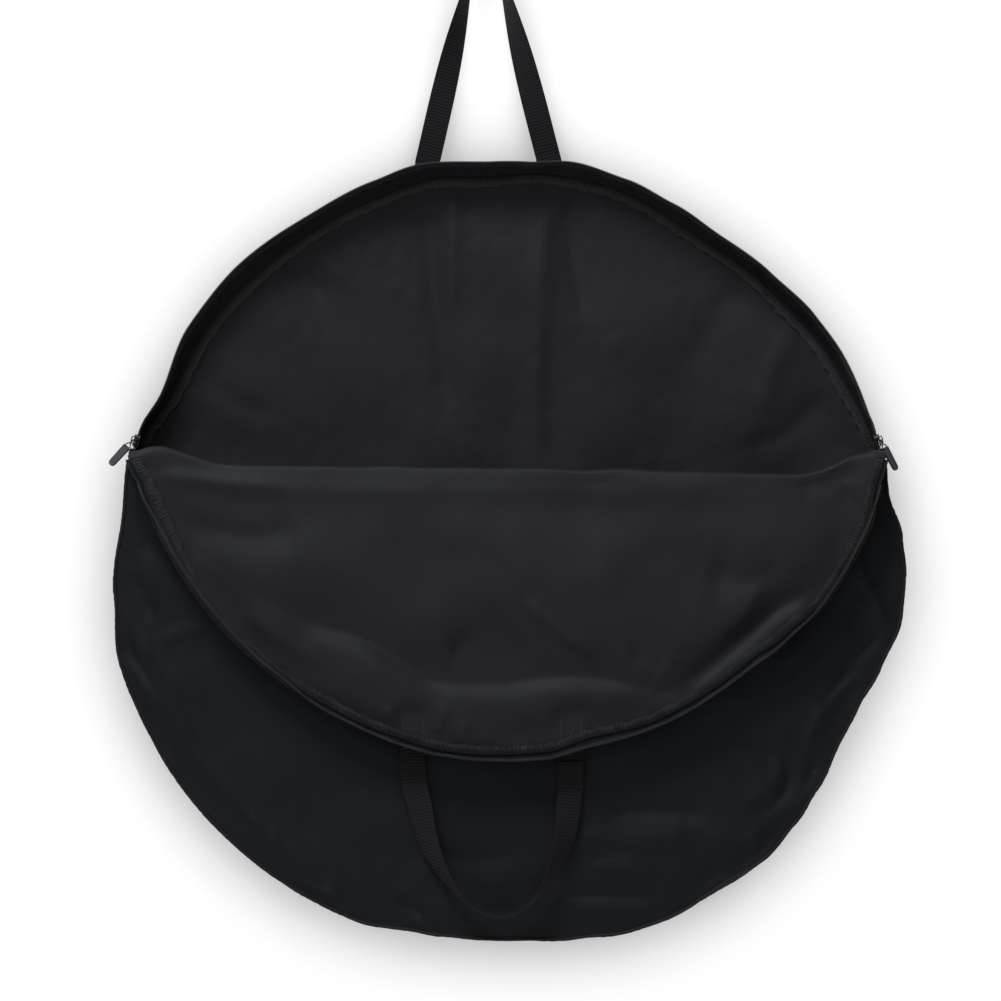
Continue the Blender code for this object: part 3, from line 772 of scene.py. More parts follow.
def glowing_wall(name):
    """A white wall that glows evenly, with painted shadow close behind things. From behind, it can be seen
    through.
    """
    shader = Shader(name, Roughness=0.9, Specular_IOR_Level=0.0, Emission_Strength=1.0)
    near = shader.node("ShaderNodeAmbientOcclusion", {"samples": 24}, {"Distance": PAINTED_SHADOW_REACH}, output=1)
    height = shader.node("ShaderNodeSeparateXYZ", values={0: shader.solid_place()}, output=2)
    # Painted shadow: the glow dims where things stand close in front, and less so higher up.
    lifted = near + (height - float(MIDDLE[2])) * PAINTED_SHADOW_LIFT
    shader.link(Emission_Color=shader.ramp(lifted, PAINTED_SHADOW_STOPS))
    shader.surface.inputs["Base Color"].default_value = (0.02, 0.02, 0.02, 1.0)
    clear = shader.node("ShaderNodeBsdfTransparent")
    back = shader.node("ShaderNodeNewGeometry", output=6)
    front = Value(shader, shader.surface.outputs[0])
    both = shader.node("ShaderNodeMixShader", values={0: back, 1: front, 2: clear})
    end = shader.tree.nodes["Material Output"]
    shader.tree.links.new(both.socket, end.inputs["Surface"])
    return shader.material


def pale_floor(name, colour):
    """A matt floor, very slightly uneven in tone."""
    shader = Shader(name, Roughness=0.9, Specular_IOR_Level=0.0)
    tone = shader.noise(shader.solid_place(), 6.0, 2.0)
    return shader.link(Base_Color=shader.mix(tone, rgb(colour, 0.99), rgb(colour)))


def size_field(name, description, default, least=0.0):
    """A length in the sidebar, given in millimetres."""
    return bpy.props.FloatProperty(
        name=name, description=description, default=default * MM, min=least * MM, unit="LENGTH")


def colour_field(name, description, *default):
    """A colour in the sidebar."""
    return bpy.props.FloatVectorProperty(
        name=name, description=description, default=default, subtype="COLOR", size=3, min=0.0, max=1.0)


class BagSizes(bpy.types.PropertyGroup):
    """Sizes of the cloth, the seams and the zip."""

    cloth: size_field("Cloth", "Thickness of the cloth", 1.0, least=0.3)
    fold_sag: size_field("Fold sag", "How far the fold hangs at most below the line it turns about", 19)
    front_rise: size_field("Front rise", "How far the front stands out from its seam", 4.4)
    shoulder: size_field("Shoulder", "Width of the slope between the seam and the front's flat part", 40)
    allowance: size_field("Seam allowance", "Width of the overlocked cloth edges inside the seams", 9)
    allowance_thickness: size_field("Allowance thickness", "Thickness of the overlocked edge's layers", 1.5)
    coil_pitch: size_field("Coil pitch", "Distance from one turn of the coil to the next", 2.1, least=0.8)
    coil_wire: size_field("Coil wire", "Radius of the coil's nylon wire", 0.42)
    tape_width: size_field("Tape width", "Width of each zip tape", 14)
    tape_thickness: size_field("Tape thickness", "Thickness of the zip tape", 0.6)
    stitch_length: size_field("Stitch", "Length of one stitch", 2.6)
    stitch_gap: size_field("Stitch gap", "Cloth between two stitches", 0.5)
    thread: size_field("Thread", "Radius of the sewing thread", 0.28)
    left_twist: bpy.props.FloatProperty(
        name="Left twist", description="How far the left pull is twisted towards the front",
        default=math.radians(60), subtype="ANGLE")
    right_twist: bpy.props.FloatProperty(
        name="Right twist", description="How far the right pull is twisted towards the front",
        default=math.radians(48), subtype="ANGLE")
    wire_radius: size_field("Wire", "Radius of the pull's wire", 0.6)
    wire_spread: size_field("Wire spread", "Distance between the wire's legs", 6.6)
    wire_reach: size_field("Wire reach", "From the bar to the grip", 8.5)
    grip_length: size_field("Grip length", "Length of the moulded grip", 26)
    grip_width: size_field("Grip width", "Width of the moulded grip", 9.2)
    grip_thickness: size_field("Grip thickness", "Thickness of the grip's rim", 3.0)
    grip_dish: size_field("Grip dish", "Depth of the dish inside the grip's rim", 0.5)
    rib_pitch: size_field("Rib pitch", "Distance between the webbing's cross ribs", 3.2, least=1)
    rib_depth: size_field("Rib depth", "Depth of the grooves between the ribs", 0.32)


class BagColours(bpy.types.PropertyGroup):
    """Colours of the bag's materials."""

    outer: colour_field("Cloth outside", "Colour of the cloth's outer face", 0.0026, 0.0032, 0.0043)
    inner: colour_field("Cloth inside", "Colour of the cloth's coated inner face", 0.0076, 0.0076, 0.0094)
    seam: colour_field("Piping", "Colour of the piping", 0.0046, 0.0046, 0.0060)
    edge: colour_field("Cloth edges", "Colour of the overlocked edges", 0.0036, 0.0036, 0.0040)
    tape: colour_field("Zip tape", "Colour of the zip tape", 0.0034, 0.0036, 0.0042)
    coil: colour_field("Zip coil", "Colour of the nylon coil", 0.018, 0.018, 0.018)
    metal: colour_field("Slider", "Colour of the enamelled sliders", 0.016, 0.016, 0.018)
    wire: colour_field("Pull wire", "Colour of the plated wire", 0.030, 0.030, 0.034)
    rubber: colour_field("Grip", "Colour of the moulded grip", 0.016, 0.016, 0.019)
    webbing: colour_field("Webbing", "Colour of the handles' webbing", 0.0044, 0.0043, 0.0051)
    thread: colour_field("Thread", "Colour of the sewing thread", 0.018, 0.018, 0.020)


def sizes():
    """The sizes that the sidebar shows."""
    return bpy.context.scene.wheel_bag_sizes


# What makes each finish, and what it takes after its name and colour
FINISHES = {
    "outer": (woven_cloth, 0.9 * MM, 0.11, 0.010),
    "inner": (woven_cloth, 0.9 * MM, 0.11, 0.010),
    "seam": (woven_cloth, 0.6 * MM, 0.14, 0.02),
    "edge": (raw_edge,),
    "tape": (tape_weave,),
    "coil": (nylon_coil,),
    "metal": (enamelled_metal, (0.16, 0.16, 0.17)),
    "wire": (plated_wire,),
    "rubber": (moulded_rubber,),
    "webbing": (ribbed_webbing, 0.11),
    "thread": (twisted_thread,),
}


def finish(name):
    """A material by name, made the first time it is asked for."""
    maker, *more = FINISHES[name]
    found = bpy.data.materials.get("bag_" + name)
    return found or maker("bag_" + name, getattr(bpy.context.scene.wheel_bag_colours, name), *more)


def settle(piece, body, slot, *nodes):
    """Puts a finished piece on its body and in the place of its nodes. Its slot is not used."""
    if nodes:
        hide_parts(*nodes)
    if body:
        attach(piece, body)
    return piece


# The fold's line: millimetres from the bag's middle, and the share of the sag that it hangs there
FOLD_LINE = (
    (-390, 0), (-372, -0.10), (-345, -0.38), (-318, -0.04), (-292, 0.36), (-262, 0.52), (-207, 0.57),
    (-107, 0.62), (-7, 0.68), (93, 0.76), (193, 0.89), (270, 1.0), (297, 0.96), (320, 0.62), (345, 0.05),
    (366, -0.04), (390, 0),
)

# Folds of the lower front, in millimetres from the bag's middle: points, height and width, with a sharpness
# and a width on the left where a fold has them
LOWER_FOLDS = (
    (((-330, 31), (-348, -75), (-353, -98), (-337, -143), (-312, -208), (-267, -261), (-195, -329),
      (-152, -365)), 0.9, 5, 0.8),
    (((-353, -98), (-327, -86), (-300, -78)), 1.0, 6),
    (((-380, -28), (-366, -44), (-352, -80)), -0.9, 4),
    (((-388, -60), (-374, -84), (-366, -120)), 1.0, 4),
    (((-390, -88), (-376, -108), (-356, -142)), -1.0, 4),
    (((-388, -108), (-368, -132), (-344, -176)), 0.9, 5),
    (((-378, -150), (-352, -186), (-326, -232)), -0.9, 6),
    (((-372, 60), (-362, 36), (-350, 8)), 0.9, 3),
    (((-382, 44), (-370, 20), (-350, -14)), -0.8, 4),
    (((-330, -260), (-290, -290), (-240, -322)), -0.8, 8),
    (((-220, -330), (-190, -346), (-160, -352)), 1.1, 5),
    (((-112, -352), (-96, -362), (-84, -372)), -1.2, 6),
    (((340, 20), (352, -20), (372, -62), (376, -84)), 1.2, 5),
    (((344, -58), (334, -92), (297, -128), (262, -150)), 1.3, 6),
    (((388, -20), (366, -40), (348, -52)), -1.0, 4),
    (((380, -84), (352, -110), (318, -157)), -1.1, 6),
    (((318, -157), (307, -183), (296, -214)), 1.0, 6),
    (((360, -128), (330, -150), (312, -190)), 0.8, 4),
    (((213, -202), (244, -196), (274, -212), (284, -230), (270, -256), (230, -272)), -1.5, 9),
    (((92, -266), (150, -264), (212, -270)), -1.4, 12),
    (((60, -288), (120, -296), (190, -290)), 1.0, 12),
    (((84, -322), (118, -320), (152, -334)), 1.2, 9),
    (((28, -350), (96, -350), (166, -352)), -1.3, 8),
    (((196, -288), (230, -300), (262, -280)), 1.1, 8),
    (((230, -330), (262, -300), (290, -262)), -0.9, 8),
    (((-150, -300), (-60, -312), (40, -306)), -0.8, 16),
    (((-60, -262), (0, -254), (50, -264)), 0.8, 14),
    (((300, -60), (272, -110), (232, -150)), -0.9, 14),
)

# Folds of the folded flap, in millimetres from the bag's middle
FLAP_FOLDS = (
    (((-277, -28), (-229, -56), (-193, -77), (-142, -92), (-96, -121), (-67, -132), (-9, -133), (62, -129),
      (103, -132), (144, -139), (190, -152)), -5.6, 11, 0.8, 30),
    (((-66, -118), (-40, -92), (-18, -72), (2, -58)), -1.8, 18, 0.9, 12),
    (((-18, -72), (6, -98), (30, -118)), -1.2, 18),
    (((11, -51), (50, -82), (93, -113)), 2.2, 6, 1.0, 14),
    (((118, -104), (141, -112), (160, -122)), -1.6, 16),
    (((313, -43), (271, -63), (231, -101), (200, -128), (185, -150)), -4.2, 24, 0.9, 8),
    (((-340, 30), (-290, 16), (-240, 12), (-205, 28)), -2.8, 26, 1.0, 15),
    (((-352, 73), (-312, 68), (-262, 62), (-212, 60)), 2.6, 10),
    (((-352, 10), (-325, -40), (-290, -92), (-250, -135)), -2.4, 12),
    (((-320, 68), (-207, 58), (-7, 56), (150, 54), (285, 50)), 0.8, 10),
    (((196, -24), (240, -32), (286, -24)), -3.4, 22),
    (((288, 60), (320, 66), (352, 80)), -2.2, 5),
    (((330, 60), (350, 40), (362, 10)), -1.8, 6),
    (((-120, -158), (-114, -188)), 1.2, 5),
    (((-62, -156), (-70, -188)), 1.2, 5),
    (((-42, -172), (-46, -200)), 1.0, 5),
    (((-60, -112), (-20, -104), (24, -112)), -3.0, 30),
    (((-270, -60), (-225, -92), (-185, -118)), 1.2, 12),
    (((262, -30), (232, -70), (196, -100)), 1.3, 12),
)

# Folds of the back, in millimetres from the bag's middle
BACK_FOLDS = (
    (((-81, 380), (-78, 300), (-66, 200), (-60, 120)), 2.6, 15),
    (((-55, 384), (-56, 310), (-58, 220)), -2.4, 12),
    (((39, 384), (36, 300), (30, 180), (32, 60)), -2.6, 14),
    (((62, 380), (66, 300), (84, 220)), 2.2, 14),
    (((-236, 304), (-210, 280), (-180, 250)), 1.8, 8),
    (((-214, 310), (-190, 296), (-160, 262)), -1.6, 8),
    (((-320, 190), (-280, 150), (-230, 130)), 1.6, 16),
    (((250, 280), (210, 230), (180, 170)), 1.8, 18),
    (((300, 230), (270, 180), (262, 130)), -1.8, 14),
    (((330, 160), (290, 120), (240, 100)), 1.6, 12),
    (((-300, -60), (-160, -140), (0, -160)), 2.0, 30),
    (((40, -200), (180, -150), (280, -60)), -2.0, 26),
    (((-220, -250), (-120, -290), (0, -280)), 1.8, 20),
    (((120, -290), (210, -250), (290, -170)), 2.0, 18),
)

# The front loop's middle line as it hangs, in millimetres from its hinge line
FRONT_LOOP = (
    (-94, -12), (-91.5, -30), (-88, -43), (-83, -66), (-76, -88), (-68, -106), (-58, -122), (-47, -136),
    (-35, -147), (-22, -154.5), (-9, -157.8), (3, -156), (13, -151), (25, -142), (36, -129), (46, -112),
    (54, -92), (59, -70), (62, -45), (63.5, -22), (64, -12),
)


def level_off(height, limit, soft):
    """A height that eases off just under a limit: the limit less a soft maximum of 0 and what is left."""
    return limit - soft * np.logaddexp(0, (limit - height) / soft)


def folds_at(x, z, folds):
    """The sum of all the creases of a table."""
    return sum(crease(x, z, *fold) for fold in folds)


def rim_gap(x, z, radius_at):
    """How far inside the seam a point lies, along its radius."""
    return radius_at(np.degrees(np.arctan2(z, x))) - np.hypot(x, z)


def seam_puckers(along, inside, slant, size, seed, reach):
    """Small puckers beside a seam: a ripple that fades away from the seam, and just at it."""
    return ripple(along, inside * slant, size, seed) * np.exp(-inside / reach) * smooth(inside / (3 * MM))


def sewn_flat(x, z, ends):
    """1 on the cloth under sewn webbing and 0 away from it, for each (x, low, high)."""
    flat = np.zeros(np.shape(x))
    reach = 16 * MM
    for leg, low, high in ends:
        beside = smooth(1.5 - np.abs(x - leg) / reach)
        flat = np.maximum(flat, beside * smooth((z - low) / reach + 1) * smooth((high - z) / reach + 1))
    return flat


def lower_front_depth(x, z):
    """The lower front's depth from its seam: a soft shoulder, folds and puckers, held short of the flap."""
    inside = rim_gap(x, z, front_radius)
    size = sizes()
    rise = 0.6 * size.front_rise * smooth(inside / size.shoulder)
    slack = smooth(inside / (12 * MM))
    along = rim_length(np.degrees(np.arctan2(z, x)))
    relief = LOWER_FOLD_SCALE * folds_at(x, z, LOWER_FOLDS) + 0.9 * MM * ripple(x, z, 110 * MM, 3)
    relief += 0.8 * MM * crumple(x, z, 46 * MM, 4) * np.exp(-(inside / (80 * MM)) ** 2)
    rise = rise + slack * relief + 0.30 * MM * seam_puckers(along, inside, 0.3, 17 * MM, 5, 16 * MM)
    level = FOLD[2] - z
    top = np.exp(-(level / (22 * MM)) ** 2) * smooth(inside / size.shoulder)
    rise = rise + (size.front_rise - rise) * top
    limit = -SEAM_Y - BEND_START - 0.2 * MM - 0.9 * MM * (1 - smooth((level - 25 * MM) / (60 * MM)))
    return level_off(rise, limit, 0.7 * MM)


def flap_rise(x, z):
    """How far the folded flap and its folds stand out in front of a flat sheet hung from the fold."""
    inside = rim_gap(x, 2 * FOLD[2] - z, front_radius)
    slack = smooth(inside / (26 * MM))
    hung = (FOLD[2] - z) / (300 * MM)
    belly = 9.5 * MM * smooth(inside / (60 * MM)) * smooth(hung / 0.46) * (1 - 0.35 * hung)
    relief = FLAP_FOLD_SCALE * folds_at(x, z, FLAP_FOLDS) + 1.3 * MM * ripple(x, z, 150 * MM, 11)
    relief += 0.35 * MM * ripple(x, z, 52 * MM, 12)
    along = rim_length(np.degrees(np.arctan2(z - 2 * FOLD[2], x)))
    relief = relief * smooth(hung / 0.05 + 0.15)
    sewn = [(leg, FRONT_SWING[2], FRONT_SWING[2] + HANDLE_LAP) for leg in FRONT_LEGS]
    held = 1 - sewn_flat(x, z, sewn)
    puckers = seam_puckers(along, inside, 0.25, 20 * MM, 13, 14 * MM)
    return held * (belly + slack * relief) + 0.35 * MM * puckers


def disc_rows(angles, radius_at, columns):
    """A grid over a disc: each row runs straight from the outline at 180 less its angle to that angle.

    Its edge reaches a little way into the piping.
    """
    right = round_points(radius_at(angles) + SEAM_TUCK, angles, 0.0)
    left = round_points(radius_at(180 - angles) + SEAM_TUCK, 180 - angles, 0.0)
    share = np.linspace(0, 1, columns)[:, None]
    return left[:, None] * (1 - share) + right[:, None] * share


def hung_flap(x, z, crest):
    """The folded flap's depth: from the fold's crest to its seam's depth 120 mm below it, less its rise."""
    face = 2 * FOLD[1] + SEAM_Y - sizes().cloth / 2
    inside = rim_gap(x, 2 * FOLD[2] - z, front_radius)
    near = smooth((FOLD[2] - z) / (120 * MM))
    flat = crest * (1 - near) + (face + 1.4 * MM * smooth(inside / (30 * MM))) * near
    return level_off(flat - flap_rise(x, z), BEND_END - sizes().cloth / 2 - 0.2 * MM, 0.6 * MM)


class WHEELBAG_OT_front_cloth(bpy.types.Operator):
    """The front in one cloth: its lower part, the soft fold and the folded flap"""

    bl_idname = "wheelbag.front_cloth"
    bl_label = "Front Cloth"

    def execute(self, context):
        size = sizes()
        columns = 192
        lower = disc_rows(np.linspace(-EDGE_ANGLE, FOLD_ANGLE, 136), front_radius, columns)
        flap = disc_rows(np.linspace(FOLD_ANGLE, EDGE_ANGLE, 92), front_radius, columns)
        knots = np.array(FOLD_LINE, float)
        sag = size.fold_sag * spline(lower[-1, :, 0] / MM, knots[:, 0], knots[:, 1])
        sag = sag + 0.5 * MM * ripple(lower[-1, :, 0], 0 * sag, 70 * MM, 14)
        sag = sag * smooth((1 - np.abs(lower[-1, :, 0]) / lower[-1, -1, 0]) / 0.05)

        lower[..., 2] -= sag * smooth(1 - (FOLD[2] - lower[..., 2]) / FOLD_REACH)
        face = -SEAM_Y + size.cloth / 2
        lower[..., 1] = face - lower_front_depth(lower[..., 0], lower[..., 2])

        flap = fold_down(flap)
        flap[..., 2] -= sag * smooth(1 - (FOLD[2] - flap[..., 2]) / FOLD_REACH)
        crest = 2 * FOLD[1] - lower[-1, :, 1]
        flap[..., 1] = hung_flap(flap[..., 0], flap[..., 2], crest)
        flap[0, :, 1] = crest

        turn = np.linspace(0, math.pi, 8)[1:-1, None]
        half = (lower[-1, :, 1] - flap[0, :, 1]) / 2
        centre = (lower[-1, :, 1] + flap[0, :, 1]) / 2
        bend = np.stack([
            np.broadcast_to(lower[-1, :, 0], (6, columns)),
            centre + half * np.cos(turn),
            lower[-1, :, 2] + half * np.sin(turn),
        ], axis=-1)
        grid = np.concatenate([lower, bend, flap])
        uv = spread_map(grid[..., 0], distances(grid[:, columns // 2])[:, None])
        piece = thick_sheet("front_cloth", grid, size.cloth, uv, [finish("inner"), finish("outer")])
        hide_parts("front_panel", "front_flap")
        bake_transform(piece)
        return {"FINISHED"}


class WHEELBAG_OT_back_cloth(bpy.types.Operator):
    """The round back, crowned outwards, with soft hanging folds under the handle"""

    bl_idname = "wheelbag.back_cloth"
    bl_label = "Back Cloth"

    def execute(self, context):
        size = sizes()
        grid = disc_rows(np.linspace(-EDGE_ANGLE, EDGE_ANGLE, 236), rear_radius, 180)
        x, z = grid[..., 0], grid[..., 2]
        inside = rim_gap(x, z, rear_radius)
        ends = [(leg, BAG_RADIUS - HANDLE_LAP, BAG_RADIUS) for leg in REAR_LEGS]
        held = 1 - sewn_flat(x, z, ends)
        share = np.clip(1 - inside / PANEL_RADIUS, 0, 1)
        crown = REAR_CROWN * (1 - share ** 2)
        relief = BACK_FOLD_SCALE * folds_at(x, z, BACK_FOLDS) + 1.2 * MM * ripple(x, z, 130 * MM, 21)
        relief += 0.25 * MM * crumple(x, z, 50 * MM, 22)
        relief = held * smooth(inside / (34 * MM)) * relief
        along = np.degrees(np.arctan2(z, x)) * 7 * MM
        relief = relief + 0.3 * MM * seam_puckers(along, inside, 0.3, 18 * MM, 23, 15 * MM)
        grid[..., 1] = SEAM_Y - size.cloth / 2 + crown + relief
        both = [finish("outer"), finish("inner")]
        piece = thick_sheet("back_cloth", grid, size.cloth, spread_map(x, z), both)
        settle(piece, "bag", "shell_cloth", "back_panel")
        return {"FINISHED"}


class ZipHalf:
    """One upper side wall with its tape and coil: where its coil, seam and end are, and its body."""

    def __init__(self, name, body, coil_y, wave, side, seam_radius, end):
        self.name = name
        self.body = body
        self.coil_y = coil_y
        self.wave = wave
        self.seam_y = side * (SEAM_Y - SEAM_INSET)
        self.side = side
        self.seam_radius = seam_radius
        self.end = end
        self.folded = side < 0

    def place(self, points):
        """Closed points where they are at rest."""
        return fold_down(points) if self.folded else points

    def turned(self, directions):
        """Closed directions as they are at rest."""
        return directions * TURNED if self.folded else directions

    def towards_seam(self, depths):
        """The share of the way from the coil's middle to the seam at each depth."""
        return (np.asarray(depths, float)[None] - self.coil_y) / (self.seam_y - self.coil_y)

    def spread(self, depths, tuck):
        """Angles of a grid from end to end. The flap's ends are cut on a slant, further in at the coil."""
        slant = self.end - ZIP_END
        start = ZIP_END + slant * (1 - self.towards_seam(depths)) - tuck
        rows = np.linspace(0, 1, int(round((180 - 2 * ZIP_END) / ANGLE_STEP)) + 1)[:, None]
        return start + (180 - 2 * start) * rows

    def line(self, angles, depths):
        """A point for each angle and depth, straight from coil to seam but for a small bulge."""
        angles = np.asarray(angles, float).reshape(len(angles), -1)
        share = self.towards_seam(depths)
        coil = COIL_ORBIT + along_table(angles, self.wave)
        seam = self.seam_radius(angles) + PIPING_OFFSET - CLOTH_SEAT
        wrinkle = 0.35 * MM * ripple(rim_length(angles), share * 30 * MM, 26 * MM, 31)
        middle_share = np.sin(math.pi * np.clip(share, 0, 1))
        radius = coil + (seam - coil) * share + (1.2 * MM + wrinkle) * middle_share
        sway = 0.4 * MM * ripple(rim_length(angles), 0 * angles, 60 * MM, 32) * (1 - share)
        sway = sway * smooth((np.minimum(angles, 180 - angles) - ZIP_END) / 6)
        return round_points(radius, angles, np.asarray(depths, float)[None] + sway)

    def from_coil(self, *lengths):
        """Depths at lengths from the coil's middle towards the seam."""
        return np.array([self.coil_y + self.side * length for length in lengths])


REAR_HALF = ZipHalf("rear", "bag", REAR_COIL_Y, REAR_COIL_WAVE, 1, rear_radius, ZIP_END)
FLAP_HALF = ZipHalf("flap", "flap", FLAP_COIL_Y, FLAP_COIL_WAVE, -1, front_radius, FLAP_ZIP_END)


def arc(start, end, step=ANGLE_STEP):
    """Angles from start to end, about a step apart."""
    return np.linspace(start, end, int(round((end - start) / step)) + 1)


class WHEELBAG_OT_walls(bpy.types.Operator):
    """The lower side wall with its hemmed ends, and the two narrow strips over the top"""

    bl_idname = "wheelbag.walls"
    bl_label = "Side Walls"

    def execute(self, context):
        size = sizes()
        share = np.linspace(0, 1, 21)[None]
        a = arc(180 - ZIP_END, 360 + ZIP_END)[:, None]
        along = rim_length(a)
        front, rear = front_radius(a), rear_radius(a)
        hollow = np.sin(math.pi * share)
        relief = 0.8 * MM * ripple(along, share * 2 * SEAM_Y, 34 * MM, 41)
        relief += 0.9 * MM * crumple(along * 0.7, share * 2 * SEAM_Y, 24 * MM, 42)
        radius = front + (rear - front) * share + (relief - 2.4 * MM) * hollow
        radius += PIPING_OFFSET - size.cloth / 2
        past_fold = np.maximum(a - 360, 180 - a) - FOLD_ANGLE
        free_edge = 1.8 * MM * smooth(past_fold / 0.4 + 0.5)
        depth = (2 * share - 1) * (SEAM_Y - SEAM_INSET) + free_edge * (1 - share)
        grid = round_points(radius, a, depth)
        uv = spread_map(along, depth)
        wall = thick_sheet("lower_wall", grid, size.cloth, uv, [finish("inner"), finish("outer")])
        settle(wall, "bag", "shell_cloth", "gusset_lower")
        length, edge = rim_angle(HEM_LENGTH), rim_angle(HEM_PAST)
        self.hem("left", 180 - ZIP_END - edge, 180 - ZIP_END + length)
        self.hem("right", 360 + ZIP_END - length, 360 + ZIP_END + edge)
        self.strip(REAR_HALF, "rear_strip", "gusset_upper")
        self.strip(FLAP_HALF, "flap_strip", "flap_gusset")
        return {"FINISHED"}

    def hem(self, side, start, end):
        """A top edge of the wall, folded over outside: a padded band, thinner under the pull."""
        size = sizes()
        angles = arc(start, end, 0.12)
        a = angles[:, None]
        depth = np.linspace(-WALL_EDGE, WALL_EDGE, 19)[None]
        swell = np.sqrt(np.clip(1 - np.abs(2 * (a - start) / (end - start) - 1) ** 6, 0, 1))
        swell = swell * (1 - np.exp(-((depth - PULL_Y) / (8 * MM)) ** 4))
        relief = 0.25 * MM * ripple(a * 7 * MM, depth, 12 * MM, 43)
        grid = round_points(BAG_RADIUS + 0.1 * MM + (0.75 * MM + relief) * swell, a, depth + 0 * a)
        uv = spread_map(rim_length(a), depth)
        hem = thick_sheet("wall_hem_" + side, grid, HEM_THICKNESS, uv, [finish("outer"), finish("outer")])
        settle(hem, "bag", "shell_cloth")
        seat = HEM_THICKNESS / 2 + STITCH_SEAT * size.thread
        sets = []
        for at in HEM_ROWS:
            place = int(at * (len(angles) - 1))
            row = grid[place]
            up = np.broadcast_to(outward(angles[place]), row.shape)
            sets += [stitch_row(row + up * face * seat, up * face * size.thread) for face in (-1, 1)]
        sew("hem_rows_" + side, "bag", sets)

    def strip(self, half, name, node):
        """A half's strip of side wall, from its free edge under the tape to its seam."""
        inner = half.side * (WALL_EDGE - extent(node)[1])
        depths = np.linspace(min(inner, half.seam_y), max(inner, half.seam_y), 13)
        angles = half.spread(depths, 0 if half.folded else -0.05)
        base = half.line(angles, depths)
        grid = half.place(base - grid_normals(base) * STRIP_SEAT)
        uv = spread_map(rim_length(angles), depths[None])
        inside = finish("outer" if half.folded else "inner")
        piece = thick_sheet(name, grid, sizes().cloth, uv, [inside, finish("outer")])
        settle(piece, half.body, "shell_cloth", node)


class WHEELBAG_OT_seams(bpy.types.Operator):
    """Corded piping on the outer corners and the overlocked cloth edges inside them"""

    bl_idname = "wheelbag.seams"
    bl_label = "Seams"

    def execute(self, context):
        ring = np.arange(0, 360, ANGLE_STEP)
        low = arc(180 - FOLD_ANGLE + 0.1, 360 + FOLD_ANGLE - 0.1)
        high = arc(FOLD_ANGLE + 0.1, 180 - FOLD_ANGLE - 0.1)
        for seam in (
            ("rear", "bag", ring, rear_radius, 1, False, True),
            ("front", "bag", low, front_radius, -1, False, False),
            ("flap", "flap", high, front_radius, -1, True, False),
        ):
            self.piping(*seam)
            self.edges(*seam)
        return {"FINISHED"}

    def piping(self, name, body, angles, radius_at, side, folded, wrap):
        """A cord covered in cloth: a ring profile carried along the seam, a little uneven."""
        path = round_points(radius_at(angles) + PIPING_OFFSET, angles, side * SEAM_Y)
        across, up = outward(angles), np.broadcast_to((0.0, 1.0, 0.0), path.shape)
        if folded:
            path, across, up = fold_down(path), across * TURNED, up * TURNED
        along = rim_length(angles)
        fine, coarse = ripple(along, 0 * along, 7 * MM, 51), ripple(along, 0 * along, 30 * MM, 52)
        swell = 1 + 0.07 * fine + 0.05 * coarse
        profile = ring_profile(PIPING_RADIUS, 10)[None] * swell[:, None, None]
        piece = swept(name + "_piping", path, across, up, profile, finish("seam"), wrap)
        settle(piece, body, "seam_cloth", "piping_" + name)

    def edges(self, name, body, angles, radius_at, side, folded, wrap):
        """A flat band of cloth layers inwards from the seam, wavy and ragged on its free edge."""
        size = sizes()
        a = angles[:, None]
        along = rim_length(a)
        share = np.linspace(0, 1, 6)[None]
        width = size.allowance + 0.7 * MM * ripple(along, 0 * along, 9 * MM, 61)
        if folded:
            width = width + along_table(a, FLAP_ALLOWANCE_EXTRA)
        radius = radius_at(a) - width * (1 - share) - 0.4 * MM
        face = SEAM_Y - size.cloth - size.allowance_thickness / 2 - 0.4 * MM
        lift = (0.9 * MM + 0.5 * MM * ripple(along, share * 9 * MM, 14 * MM, 62)) * (1 - share) ** 1.5
        grid = round_points(radius, a, side * (face - np.maximum(lift, 0)))
        if folded:
            grid = fold_down(grid)
        uv = spread_map(along, width * share)
        if wrap:
            uv = flat_map(along[:, 0], share[0] * size.allowance)
        cover = finish("tape" if folded else "edge")
        piece = thick_sheet(name + "_edges", grid, size.allowance_thickness, uv, [cover, cover], wrap)
        settle(piece, body, "seam_cloth", *([] if folded else ["binding_" + name]))
        if name != "front":
            self.overlock(name, body, grid)

    def overlock(self, name, body, grid):
        """Thread loops to and fro between the band's free edge and its needle line, and a row along it.

        They lie on the band's front, which is the side that shows.
        """
        size = sizes()
        out = np.array((0.0, -1.0, 0.0))
        lift = np.broadcast_to(out * size.thread, grid[:, 0].shape)
        seat = out * (size.allowance_thickness / 2 + 0.4 * size.thread)
        near, far = grid[:, 0] + seat, grid[:, 4] + seat
        step = 1.6 * MM
        along = distances(near)
        at = np.arange(0, along[-1] - step, step)
        rng = np.random.default_rng(63)
        slip = rng.uniform(-0.35, 0.35, (2, len(at))) * step
        low, high = read_line(near, along, at + slip[0]), read_line(far, along, at + slip[1] + step / 2)
        rise = np.broadcast_to(out * size.thread * 1.4, low.shape)
        sets = [(low, high, rise), (high[:-1], low[1:], rise[1:]), stitch_row(far, lift)]
        sew(name + "_overlock", body, sets, 0.9)


